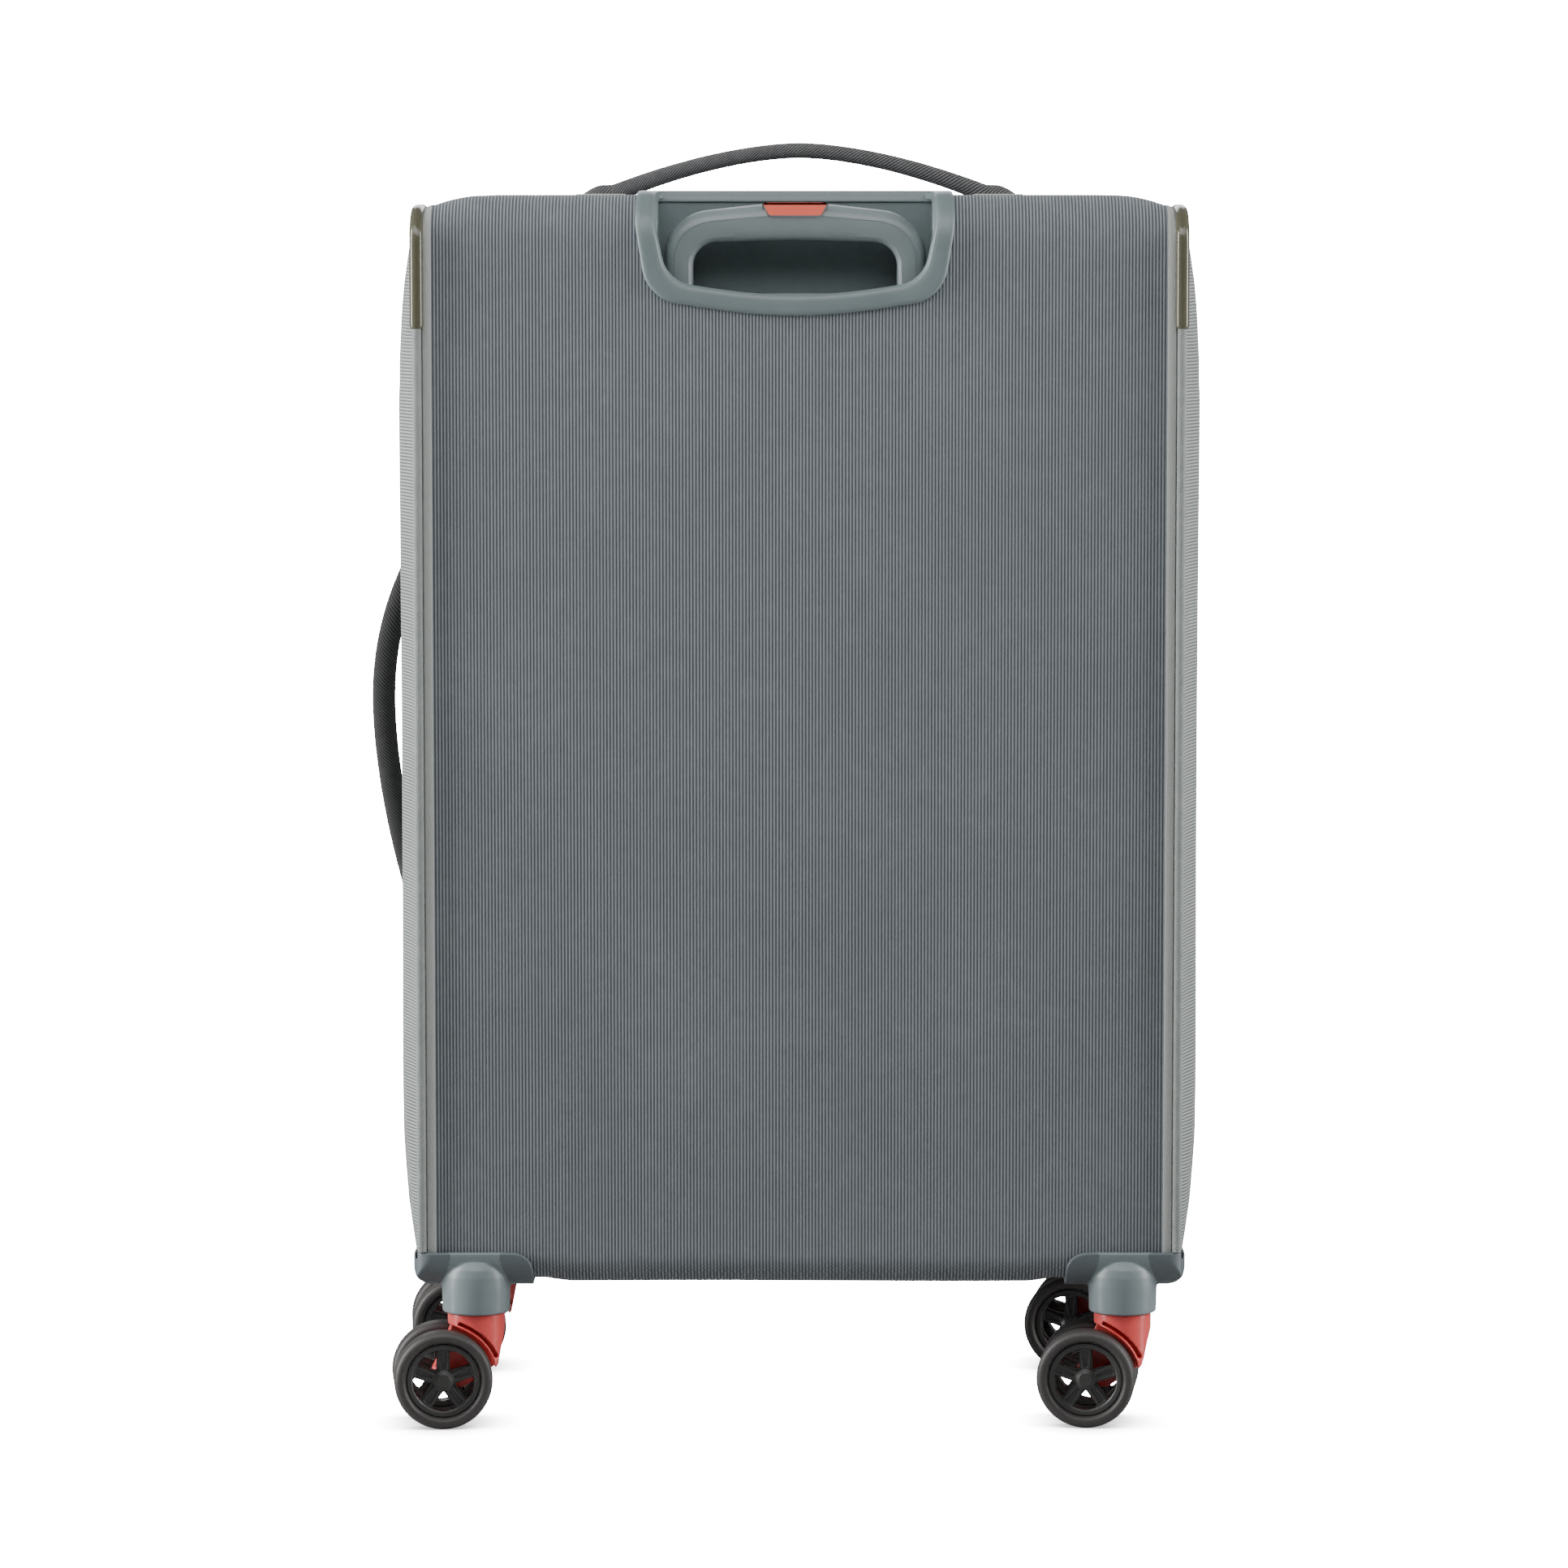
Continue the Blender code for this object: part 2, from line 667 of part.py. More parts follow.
def dome_profile():
    return [
        (0, DOME_TOP),
        (DOME_RADIUS * 0.62, DOME_TOP - 0.0012),
        (DOME_RADIUS * 0.84, DOME_TOP - 0.0045),
        (DOME_RADIUS * 0.955, DOME_TOP - 0.0105),
        (DOME_RADIUS, DOME_BOTTOM),
        (0, DOME_BOTTOM),
    ]


def make_dome_space(name, side, y):
    """Room for a dome in the shell: its outside touches the dome's widest ring."""
    radius = (DOME_RADIUS + GAP) / math.cos(math.pi / DOME_SIDES)
    return rod(f"dome_space_{name}", radius, (side * SWIVEL_X, y, DOME_BOTTOM - 0.01),
               (side * SWIVEL_X, y, DOME_TOP + GAP), DOME_SIDES, cutter=True)


def empty_at(name, place, yaw=0.0):
    return empty(name + "_axis", place, ROOT, yaw)


def make_caster_housing(name, side, y):
    rear = name.startswith("rear")
    low_y = -PLATE - GAP if rear else SHELL_DEPTH - PLATE_LENGTH
    high_y = low_y + PLATE_LENGTH if rear else SHELL_DEPTH
    bottom = BODY_BOTTOM - PLATE
    corners = [
        (PLATE_IN, PLATE_TOP, 0.011),
        (PLATE_OUT, PLATE_TOP, 0.0015),
        (PLATE_OUT, bottom, 0.012),
        (PLATE_IN, bottom, 0),
    ]
    outline = [(side * u, v) for u, v in fillet(corners)]
    housing = slab(f"caster_housing_{name}", [outline], low_y, high_y, "XZ")
    ahead = SHELL_DEPTH + 0.03
    limit = case_block(f"plate_limit_{name}", PLATE, PLATE_OUT + 0.03, ahead)
    plan = [(PLATE_IN - 0.01, -PLATE, 0), (PLATE_IN - 0.01, ahead, 0), (PLATE_OUT, ahead, 0),
            (PLATE_OUT, -PLATE, 0.010)]
    plan = slab(f"plate_plan_{name}", [[(side * u, v) for u, v in fillet(plan)]],
                BODY_BOTTOM - 0.03, BODY_BOTTOM + 0.05, "XY", cutter=True)
    core = case_block(f"plate_core_{name}", GAP, PLATE_OUT - PLATE_SIDE, ahead + 0.01)
    low = BODY_BOTTOM - GAP
    high = PLATE_TOP + 0.05
    rounded = [(0, low, 0), (PLATE_OUT - PLATE_SIDE, low, CORE_RADIUS),
               (PLATE_OUT - PLATE_SIDE, high, 0), (0, high, 0)]
    within(core, slab(f"core_round_{name}", [[(side * u, v) for u, v in fillet(rounded)]],
                      -0.05, ahead + 0.02, "XZ", cutter=True))
    dome = turned(f"dome_{name}", dome_profile(), DOME_SIDES, parent=empty_at(name + "_dome",
                  (side * SWIVEL_X, y, 0)), cutter=True)
    bore = rod(f"pin_bore_{name}", PIN_RADIUS + GAP, (side * SWIVEL_X, y, 0.05),
               (side * SWIVEL_X, y, DOME_TOP - PIN_HEAD), cutter=True)
    within(housing, limit, plan)
    cut(housing, core)
    join(housing, dome)
    cut(housing, bore)
    pin = rod(f"swivel_pin_{name}", PIN_RADIUS, (side * SWIVEL_X, y, DOME_BOTTOM - PIN_DEPTH),
              (side * SWIVEL_X, y, DOME_TOP - PIN_HEAD - GAP))
    metal(pin)
    return plastic(housing)


def around_axle(radius, start, end, count):
    """Points on an arc round the axle, as (x, z), from start to end degrees."""
    points = []
    for k in range(count + 1):
        angle = math.radians(start + (end - start) * k / count)
        points.append((-TRAIL + radius * math.cos(angle), WHEEL_RADIUS + radius * math.sin(angle)))
    return points


def make_fork(name, carrier):
    """A round crown, a hood that follows the wheels and a web between them down to the axle."""
    wide = CROWN_RADIUS + 0.0005
    hood_outline = [(wide, FORK_TOP), (wide - 0.0008, FORK_TOP - 0.0154),
                    (0.0115, WHEEL_RADIUS + 0.005)]
    hood_outline += around_axle(WHEEL_RADIUS + WHEEL_CLEAR, 9, 76, 5)
    hood_outline += [(-wide, FORK_TOP - 0.0069), (-wide, FORK_TOP)]
    fork = slab(f"fork_{name}", [hood_outline], -wide, wide, "XZ", parent=carrier)
    crown = rod(f"fork_crown_{name}", CROWN_RADIUS, (0, 0, 0), (0, 0, FORK_TOP + 0.01), 20,
                parent=carrier, cutter=True)
    web_outline = [(-0.013, FORK_TOP - 0.0034), (0.0120, FORK_TOP - 0.0034),
                   (0.0105, WHEEL_RADIUS + 0.006)]
    web_outline += around_axle(WEB_RADIUS, -50, -200, 5)
    web = slab(f"fork_web_{name}", [web_outline], -WEB_HALF, WEB_HALF, "XZ", parent=carrier,
               cutter=True)
    boss = rod(f"fork_boss_{name}", BOSS_RADIUS, (-TRAIL, -BOSS_HALF, WHEEL_RADIUS),
               (-TRAIL, BOSS_HALF, WHEEL_RADIUS), parent=carrier, cutter=True)
    bore = rod(f"axle_hole_{name}", AXLE_RADIUS + GAP, (-TRAIL, -0.03, WHEEL_RADIUS),
               (-TRAIL, 0.03, WHEEL_RADIUS), parent=carrier, cutter=True)
    seat = rod(f"pin_hole_{name}", PIN_RADIUS + GAP, (0, 0, DOME_BOTTOM - PIN_DEPTH - GAP),
               (0, 0, DOME_TOP), parent=carrier, cutter=True)
    within(fork, crown)
    join(fork, web, boss)
    return red_plastic(cut(fork, bore, seat))


def hub_outlines():
    """Rim, five windows between wide spokes, and the axle's bore, as (x, z) round the axle."""
    bore = (AXLE_RADIUS + RUN) / math.cos(math.pi / 12)
    loops = [circle(0, 0, HUB_RADIUS, 24), circle(0, 0, bore, 12)]
    for k in range(5):
        middle = math.radians(54 + 72 * k)
        corners = []
        far = HUB_RADIUS - 0.0029
        for reach, swing in ((0.0075, -12), (far, -21), (far, 21), (0.0075, 12)):
            angle = middle + math.radians(swing)
            corners.append((reach * math.cos(angle), reach * math.sin(angle)))
        loops.append(corners)
    return loops


def make_wheel(name, hand, middle, carrier):
    place = (-TRAIL, middle, WHEEL_RADIUS)
    low = middle - HUB_WIDTH / 2
    outlines = [[(u - TRAIL, v + WHEEL_RADIUS) for u, v in loop] for loop in hub_outlines()]
    hub = slab(f"hub_{name}_{hand}", outlines, low, low + HUB_WIDTH, "XZ", place=place,
               parent=carrier)
    finish(hub, BLACK, 0.45)
    half = WHEEL_WIDTH / 2
    inner = (HUB_RADIUS + GAP) / math.cos(math.pi / 24)
    profile = [
        (inner, half),
        (WHEEL_RADIUS - TREAD_CORNER, half),
        (WHEEL_RADIUS, half - TREAD_CORNER),
        (WHEEL_RADIUS, -half + TREAD_CORNER),
        (WHEEL_RADIUS - TREAD_CORNER, -half),
        (inner, -half),
        (inner, half),
    ]
    tyre = turned(f"tyre_{name}_{hand}", profile, 24, parent=carrier)
    tyre.location = place
    tyre.rotation_euler = (math.pi / 2, 0, 0)
    finish(tyre, BLACK, 0.6)


def make_caster(name, side, y):
    carrier = empty_at(f"swivel_{name}", (side * SWIVEL_X, y, 0), REST_YAW[name])
    make_fork(name, carrier)
    reach = WHEEL_SPACING / 2 + HUB_WIDTH / 2 - GAP
    axle = rod(f"axle_{name}", AXLE_RADIUS, (-TRAIL, -reach, WHEEL_RADIUS),
               (-TRAIL, reach, WHEEL_RADIUS), place=(-TRAIL, 0, WHEEL_RADIUS), parent=carrier)
    metal(axle)
    make_wheel(name, "outer", -WHEEL_SPACING / 2, carrier)
    make_wheel(name, "inner", WHEEL_SPACING / 2, carrier)


# Carry handles

def handle_radius(share, thick):
    """Thick along the grip, thin where its ends are sewn down; share runs 0 to 1 to an end."""
    return HANDLE_END_RADIUS + (thick - HANDLE_END_RADIUS) * min(1, 4 * max(0, 1 - share))


def arch(distance, foot, crest):
    """Height of a handle's outer edge, falling from crest to nothing at foot."""
    return crest * (1 - (distance / foot) ** 1.6) if distance < foot else 0


def make_top_handle():
    points = []
    radii = []
    for k in range(17):
        x = TOP_HANDLE_HALF * (k / 8 - 1)
        radius = handle_radius(abs(x) / TOP_HANDLE_HALF, TOP_HANDLE_RADIUS)
        upper = BODY_TOP + arch(abs(x), TOP_HANDLE_FOOT, TOP_HANDLE_RISE)
        centre = max(upper - radius, BODY_TOP + HANDLE_CLEAR + radius)
        points.append((x, HANDLE_Y, centre))
        radii.append(radius)
    pivot = (0, HANDLE_Y, BODY_TOP + HANDLE_CLEAR + HANDLE_END_RADIUS)
    return fabric(swept("top_carry_handle", points, radii, sides=1, place=pivot))


def make_side_handle():
    low, high = SIDE_HANDLE_Z
    points = []
    radii = []
    for k in range(17):
        z = low + (high - low) * k / 16
        end = low if z < SIDE_HANDLE_PEAK else high
        share = (z - SIDE_HANDLE_PEAK) / (end - SIDE_HANDLE_PEAK)
        radius = handle_radius(share, SIDE_HANDLE_RADIUS)
        outer = SIDE_OUT + arch(share, SIDE_HANDLE_FOOT, SIDE_HANDLE_RISE)
        centre = max(outer - radius, SIDE_OUT + HANDLE_CLEAR + radius)
        points.append((-centre, HANDLE_Y, z))
        radii.append(radius)
    pivot = (-SIDE_OUT - HANDLE_CLEAR - HANDLE_END_RADIUS, HANDLE_Y, (low + high) / 2)
    return fabric(swept("side_carry_handle", points, radii, sides=1, place=pivot))


# Lid, pocket and zips

def rounded_rectangle(half, low, high, radius):
    return fillet([(-half, low, radius), (half, low, radius), (half, high, radius),
                   (-half, high, radius)])


def make_lid():
    low_y = SHELL_DEPTH + 2 * GAP
    low = BODY_BOTTOM + LID_SHY[0]
    high = BODY_TOP - LID_SHY[1]
    pivot = (LID_HINGE_X, SHELL_DEPTH + GAP, 0)
    lid = slab("lid_shell", [rounded_rectangle(LID_HALF, low, high, LID_RADIUS)], low_y,
               LID_FRONT, "XZ", place=pivot)
    room = slab("lid_room",
                [rounded_rectangle(LID_HALF - LID_WALL, low + LID_WALL, high - LID_WALL,
                                   LID_RADIUS - LID_WALL)],
                low_y - 0.01, LID_FRONT - LID_WALL, "XZ", cutter=True)
    fabric(cut(lid, room))
    pocket = slab("front_pocket",
                  [rounded_rectangle(LID_HALF - POCKET_MARGIN, low + POCKET_MARGIN, POCKET_TOP,
                                     0.022)],
                  LID_FRONT + GAP, LID_FRONT + GAP + POCKET_THICK, "XZ", place=pivot)
    fabric(soften(pocket, 0.0045, 2, 60))


def make_main_zip(name, middle):
    """A slider on the zip down the handle's side, with its puller hanging from it."""
    proud, across, along = SLIDER
    inner = -(SEAM_X + SIDE_EDGE + SLIDER_STAND)
    y = SHELL_DEPTH + GAP
    slider = box(f"zip_slider_{name}", (inner - proud, y - across / 2, middle - along / 2),
                 (inner, y + across / 2, middle + along / 2), place=(inner, y, middle))
    metal(soften(slider, 0.001, 1))
    thick, wide, long = PULLER
    top = middle + PULLER_DROP
    pivot = (inner - proud - GAP - thick / 2, y, top - thick / 2)
    puller = box(f"puller_{name}", (pivot[0] - thick / 2, y - wide / 2, top - long),
                 (pivot[0] + thick / 2, y + wide / 2, top), place=pivot)
    metal(puller)


def make_pocket_zip():
    proud, across, along = SLIDER
    face = LID_FRONT + GAP + POCKET_THICK + GAP
    z = POCKET_TOP - POCKET_ZIP_DROP
    x = POCKET_SLIDER_X
    slider = box("pocket_slider", (x - along / 2, face, z - across / 2),
                 (x + along / 2, face + proud, z + across / 2), place=(x, face, z))
    metal(soften(slider, 0.001, 1))
    thick, wide, long = PULLER
    top = z + PULLER_DROP
    pivot = (x, face + proud + GAP + thick / 2, top - thick / 2)
    puller = box("pocket_puller", (x - wide / 2, pivot[1] - thick / 2, top - long),
                 (x + wide / 2, pivot[1] + thick / 2, top), place=pivot)
    metal(puller)


# The whole case

clear_scene()
PARTS = collection(COLLECTION)
CUTTERS = collection("cutters")
LEFT = -SIDE_OUT - SIDE_HANDLE_RISE
RIGHT = SIDE_OUT
BACK = SWIVEL_REAR_Y - WHEEL_SPACING / 2 - WHEEL_WIDTH / 2 - 0.003
FRONT = LID_FRONT + POCKET_THICK + SLIDER[0] + PULLER[0] + 3 * GAP
ROOT = None
ROOT = empty("suitcase_frame", (-(LEFT + RIGHT) / 2, -(BACK + FRONT) / 2, 0))

dome_spaces = [make_dome_space(name, side, y) for name, side, y in caster_places()]
make_shell_wrap(make_tray_space(), dome_spaces)
for hand, side in (("left", -1), ("right", 1)):
    make_side_panel(side, f"side_panel_{hand}")
    make_piping(side, f"piping_{hand}")
    make_piping_guard(side, f"piping_guard_{hand}")
    tube(f"outer_tube_{hand}", side, OUTER_TUBE, OUTER_BOTTOM, OUTER_TOP)
    tube(f"middle_tube_{hand}", side, MIDDLE_TUBE, MIDDLE_BOTTOM, MIDDLE_TOP)
    tube(f"inner_tube_{hand}", side, INNER_TUBE, INNER_BOTTOM, INNER_TOP)
make_handle_tray()
make_tube_foot()
make_grip()
make_release_button()
make_release_bail()
for name, side, y in caster_places():
    make_caster_housing(name, side, y)
    make_caster(name, side, y)
make_top_handle()
make_side_handle()
make_lid()
make_main_zip("upper", SLIDER_Z + SLIDER_GAP / 2)
make_main_zip("lower", SLIDER_Z - SLIDER_GAP / 2)
make_pocket_zip()
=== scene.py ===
# %% [markdown]
# # A softside suitcase, built round its frame
# The frame holds the real case's parts where they are: shell, tubes, casters, lid. This lesson
# dresses them: ribbed fabric, piping, moulded plastic, wheels, zips, lining. Each piece is
# modelled where the frame says it sits, and rides on the body it would be sewn or screwed to.

# %% Load the frame
import math

import bpy
from mathutils import Matrix, Vector


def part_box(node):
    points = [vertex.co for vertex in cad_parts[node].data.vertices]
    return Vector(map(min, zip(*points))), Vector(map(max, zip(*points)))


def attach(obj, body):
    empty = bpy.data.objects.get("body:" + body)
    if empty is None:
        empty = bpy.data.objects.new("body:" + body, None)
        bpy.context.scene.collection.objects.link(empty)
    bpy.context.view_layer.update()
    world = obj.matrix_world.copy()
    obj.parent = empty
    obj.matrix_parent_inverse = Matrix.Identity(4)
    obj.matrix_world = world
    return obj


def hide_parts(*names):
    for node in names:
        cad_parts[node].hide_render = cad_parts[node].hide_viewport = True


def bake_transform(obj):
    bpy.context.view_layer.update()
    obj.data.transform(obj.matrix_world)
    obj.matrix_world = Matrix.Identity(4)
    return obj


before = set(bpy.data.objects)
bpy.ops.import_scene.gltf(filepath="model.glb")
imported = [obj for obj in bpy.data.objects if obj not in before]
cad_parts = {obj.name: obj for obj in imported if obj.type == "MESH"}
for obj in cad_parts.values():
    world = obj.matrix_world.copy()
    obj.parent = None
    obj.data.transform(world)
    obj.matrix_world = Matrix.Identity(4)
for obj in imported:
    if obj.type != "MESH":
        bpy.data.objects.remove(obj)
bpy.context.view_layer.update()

# %% [markdown]
# ## Where things are
# Every place below is worked out from the boxes of the frame's own solids, so nothing is placed
# by eye. The back panel is the plane that the camera sees; the lid is on the far side.

# %% Landmarks
MM = 0.001
shell_low, shell_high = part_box("shell_wrap")
side_low, side_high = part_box("side_panel_right")
MID = (shell_low.x + shell_high.x) / 2
BACK = shell_low.y
BOTTOM = shell_low.z
TOP = shell_high.z
ZIP = shell_high.y
SEAM = shell_high.x - MID
BULGE = side_high.x - MID
PLACES = ("rear_left", "rear_right", "front_left", "front_right")
print("case", round(2 * BULGE, 4), "wide,", round(ZIP - BACK, 4), "deep,", round(TOP - BOTTOM, 4))


def middle(node):
    low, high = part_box(node)
    return (low + high) / 2


# %% [markdown]
# ## Camera and light
# The camera stands 3.44 m behind the case, near the height of its top, with a long lens, tilted
# a little down, so the case looks nearly flat-on. Soft boxes and a pale room give the even grey
# of a catalogue picture; the two at the sides make the rounded sides brighter, and the sides'
# cloth is painted lighter as well, as painted light.

# %% Camera
CAMERA_AWAY, CAMERA_HIGH = 3.44, 0.70
TILT_DOWN = 5.42
camera = bpy.data.objects.new("camera", bpy.data.cameras.new("camera"))
bpy.context.scene.collection.objects.link(camera)
camera.location = (MID, BACK - CAMERA_AWAY, CAMERA_HIGH)
camera.rotation_euler = (math.radians(90 - TILT_DOWN), 0, 0)
camera.data.sensor_width = 36
camera.data.lens = 138.15
camera.data.shift_x = -0.009834
bpy.context.scene.camera = camera

# %% Lights


def soft_box(name, place, aim, size, power):
    light = bpy.data.lights.new(name, "AREA")
    light.shape = "RECTANGLE"
    light.size, light.size_y = size
    light.energy = power
    obj = bpy.data.objects.new(name, light)
    bpy.context.scene.collection.objects.link(obj)
    obj.location = place
    obj.rotation_euler = (Vector(aim) - Vector(place)).to_track_quat("-Z", "Y").to_euler()


soft_box("key", (MID - 0.4, BACK - 0.75, 1.55), (MID, BACK, 0.62), (1.2, 0.6), 8.5)
soft_box("fill", (MID + 0.5, BACK - 0.85, 1.5), (MID, BACK, 0.60), (1.0, 0.6), 5)
for name, side, power in (("left_edge", -1.5, 39), ("right_edge", 1.5, 25)):
    soft_box(name, (MID + side, BACK - 0.15, 0.75), (MID, BACK + 0.05, 0.42), (0.3, 1.4), power)
soft_box("front_fill", (MID, 2.4, 1.6), (MID, 0, 0.38), (1.8, 1.4), 24)
world = bpy.data.worlds.new("pale_room")
bpy.context.scene.world = world
world.use_nodes = True
room = world.node_tree
seen = room.nodes.new("ShaderNodeLightPath")
level = room.nodes.new("ShaderNodeMath")
level.operation = "MULTIPLY_ADD"
level.inputs[1].default_value = 30.0
level.inputs[2].default_value = 0.16
room.links.new(seen.outputs["Is Camera Ray"], level.inputs[0])
room.links.new(level.outputs[0], room.nodes["Background"].inputs["Strength"])
room.nodes["Background"].inputs["Color"].default_value = (1, 1, 1, 1)

# %% [markdown]
# ## Shader maths as expressions
# A pattern is a sum: stripes times dots plus noise. Written as Python expressions it can be read
# at a glance, so a small class wraps a socket and adds the Math node for each operator.

# %% The classes for sockets and finishes


class Value:
    """A number inside a shader, which + - * / and the methods below build on."""

    def __init__(self, tree, socket):
        self.tree = tree
        self.socket = socket

    def math(self, operation, *others):
        node = self.tree.nodes.new("ShaderNodeMath")
        node.operation = operation
        for slot, value in zip(node.inputs, (self, *others)):
            if isinstance(value, Value):
                self.tree.links.new(value.socket, slot)
            else:
                slot.default_value = value
        return Value(self.tree, node.outputs[0])

    def __add__(self, other):
        return self.math("ADD", other)

    __radd__ = __add__

    def __mul__(self, other):
        return self.math("MULTIPLY", other)

    __rmul__ = __mul__

    def __sub__(self, other):
        return self.math("SUBTRACT", other)

    def __rsub__(self, other):
        return (self * -1).math("ADD", other)

    def wave(self, pitch):
        """0 to 1 and back, once every pitch."""
        return (self * (2 * math.pi / pitch)).math("SINE") * 0.5 + 0.5

    def clamp(self, low, high):
        return self.math("MAXIMUM", low).math("MINIMUM", high)


class Finish:
    """One material: a Principled shader and a few ways to feed it."""

    def __init__(self, name, colour, roughness, metallic=0.0, **sockets):
        self.material = bpy.data.materials.new(name)
        self.material.use_nodes = True
        self.tree = self.material.node_tree
        self.shader = self.tree.nodes["Principled BSDF"]
        self.set(self.shader, {"Base Color": (*colour, 1), "Roughness": roughness,
                               "Metallic": metallic})
        self.set(self.shader, {key.replace("_", " "): value for key, value in sockets.items()})

    def set(self, node, values):
        for key, value in values.items():
            socket = node.inputs[key]
            if isinstance(value, Value):
                self.tree.links.new(value.socket, socket)
            elif isinstance(value, bpy.types.NodeSocket):
                self.tree.links.new(value, socket)
            else:
                socket.default_value = value

    def node(self, kind, settings=None, **values):
        made = self.tree.nodes.new(kind)
        for key, value in (settings or {}).items():
            setattr(made, key, value)
        self.set(made, {key.replace("_", " "): value for key, value in values.items()})
        return made

    def place(self):
        """Object coordinates, as x, y and z in metres."""
        coordinate = self.node("ShaderNodeTexCoord").outputs["Object"]
        split = self.node("ShaderNodeSeparateXYZ", Vector=coordinate)
        return coordinate, [Value(self.tree, out) for out in split.outputs]

    def uv(self):
        split = self.node("ShaderNodeSeparateXYZ", Vector=self.node("ShaderNodeUVMap").outputs[0])
        return [Value(self.tree, out) for out in split.outputs[:2]]

    def noise(self, scale, detail=3.0, rough=0.6):
        coordinate, _ = self.place()
        made = self.node("ShaderNodeTexNoise", Vector=coordinate, Scale=scale, Detail=detail,
                         Roughness=rough)
        return Value(self.tree, made.outputs["Fac"])

    def mix(self, amount, low, high):
        made = self.node("ShaderNodeMix", {"data_type": "RGBA"})
        self.set(made, {"Factor": amount})
        for socket, colour in zip((made.inputs[6], made.inputs[7]), (low, high)):
            if isinstance(colour, bpy.types.NodeSocket):
                self.tree.links.new(colour, socket)
            else:
                socket.default_value = (*colour, 1)
        return made.outputs[2]

    def colour(self, source):
        self.set(self.shader, {"Base Color": source})

    def bump(self, height, depth, strength=1.0):
        made = self.node("ShaderNodeBump", Strength=strength, Distance=depth, Height=height)
        self.set(self.shader, {"Normal": made.outputs["Normal"]})


def shade(tone):
    """A catalogue colour, 0 to 255, as the shader's linear value."""
    return tuple((part / 255) ** 2.2 for part in tone)


# %% [markdown]
# ## The fabric
# The polyester is a ribbed weave: pale cords 1.9 mm apart over a darker ground, each cord
# crossed by fine threads. The pattern reads Object coordinates: along x on the back panel, whose
# ribs stand upright and run on over the top, and along z on the sides, whose ribs lie flat.

# %% Ribbed weave
RIB_PITCH = 1.9 * MM
THREAD_PITCH = 1.25 * MM
CORD = shade((154, 160, 165))
GROUND = shade((73, 79, 84))


def ribbed_weave(name, across, cord=CORD, ground=GROUND):
    finish = Finish(name, ground, 0.85, Sheen_Weight=0.15, Sheen_Roughness=0.5,
                    Specular_IOR_Level=0.25)
    _, (x, y, z) = finish.place()
    rib_axis, run = {"x": (x, y + z), "z": (z, y + x * 0.3)}[across]
    rib = rib_axis.wave(RIB_PITCH)
    thread = (run + rib_axis * 0.35).wave(THREAD_PITCH)
    pale = (rib * 1.25 - 0.18).clamp(0, 1) * (0.62 + 0.38 * thread)
    wear = finish.noise(9, 4) * 0.5 + finish.noise(90, 2) * 0.5
    amount = (pale + (wear - 0.5) * 0.35).clamp(0, 1)
    finish.colour(finish.mix(amount, ground, cord))
    finish.bump(rib * 0.75 + thread * rib * 0.25, 0.45 * MM, 0.55)
    finish.set(finish.shader, {"Roughness": 0.92 - pale * 0.14})
    return finish.material


def bias_weave(name, cord, ground, pitch=1.5 * MM):
    """Weave laid at a slant, read from the piece's own UV map in metres."""
    finish = Finish(name, ground, 0.85, Sheen_Weight=0.15, Specular_IOR_Level=0.25)
    u, v = finish.uv()
    rib = (u + v).wave(pitch)
    cross = (u - v).wave(pitch * 0.8)
    amount = (rib * 1.2 - 0.15).clamp(0, 1) * (0.7 + 0.3 * cross)
    amount = (amount + (finish.noise(120, 2) - 0.5) * 0.3).clamp(0, 1)
    finish.colour(finish.mix(amount, ground, cord))
    finish.bump(rib * 0.7 + cross * 0.3, 0.35 * MM, 0.6)
    return finish.material


def plain_cloth(name, tone, pitch=0.9 * MM):
    finish = Finish(name, tone, 0.9, Sheen_Weight=0.1)
    _, (x, y, z) = finish.place()
    warp = (x + y).wave(pitch)
    weft = (z + y * 0.5).wave(pitch)
    amount = (warp * weft + finish.noise(14, 4) * 0.4).clamp(0, 1)
    finish.colour(finish.mix(amount, tuple(c * 0.72 for c in tone), tone))
    finish.bump(warp * 0.5 + weft * 0.5, 0.2 * MM, 0.5)
    return finish.material


# %% [markdown]
# ## Moulded plastic, rubber and metal
# Moulded plastic isn't one flat colour: it has a fine spark-eroded grain and a little cloudiness.
# One function makes them all, with the grain's size and depth.

# %% Hard finishes


def moulded(name, tone, rough, grain=900, depth=0.05 * MM, cloud=0.10, metallic=0.0, **more):
    finish = Finish(name, tone, rough, metallic, **more)
    mottle = finish.noise(35, 3)
    fine = finish.noise(grain, 2, 0.5)
    dark = tuple(c * (1 - cloud) for c in tone)
    light = tuple(min(1, c * (1 + cloud)) for c in tone)
    finish.colour(finish.mix(mottle, dark, light))
    finish.set(finish.shader, {"Roughness": (mottle - 0.5) * 0.12 + (fine - 0.5) * 0.1 + rough})
    finish.bump(fine, depth, 0.35)
    return finish.material


def brushed(name, tone, rough):
    finish = Finish(name, tone, rough, 1.0)
    coordinate, _ = finish.place()
    stretch = finish.node("ShaderNodeMapping", Vector=coordinate, Scale=(900, 900, 12))
    streaks = finish.node("ShaderNodeTexNoise", Vector=stretch.outputs[0], Scale=1.0, Detail=2.0)
    grain = Value(finish.tree, streaks.outputs["Fac"])
    finish.set(finish.shader, {"Roughness": grain * 0.22 + (rough - 0.1)})
    finish.colour(finish.mix(grain, tuple(c * 0.88 for c in tone), tone))
    return finish.material


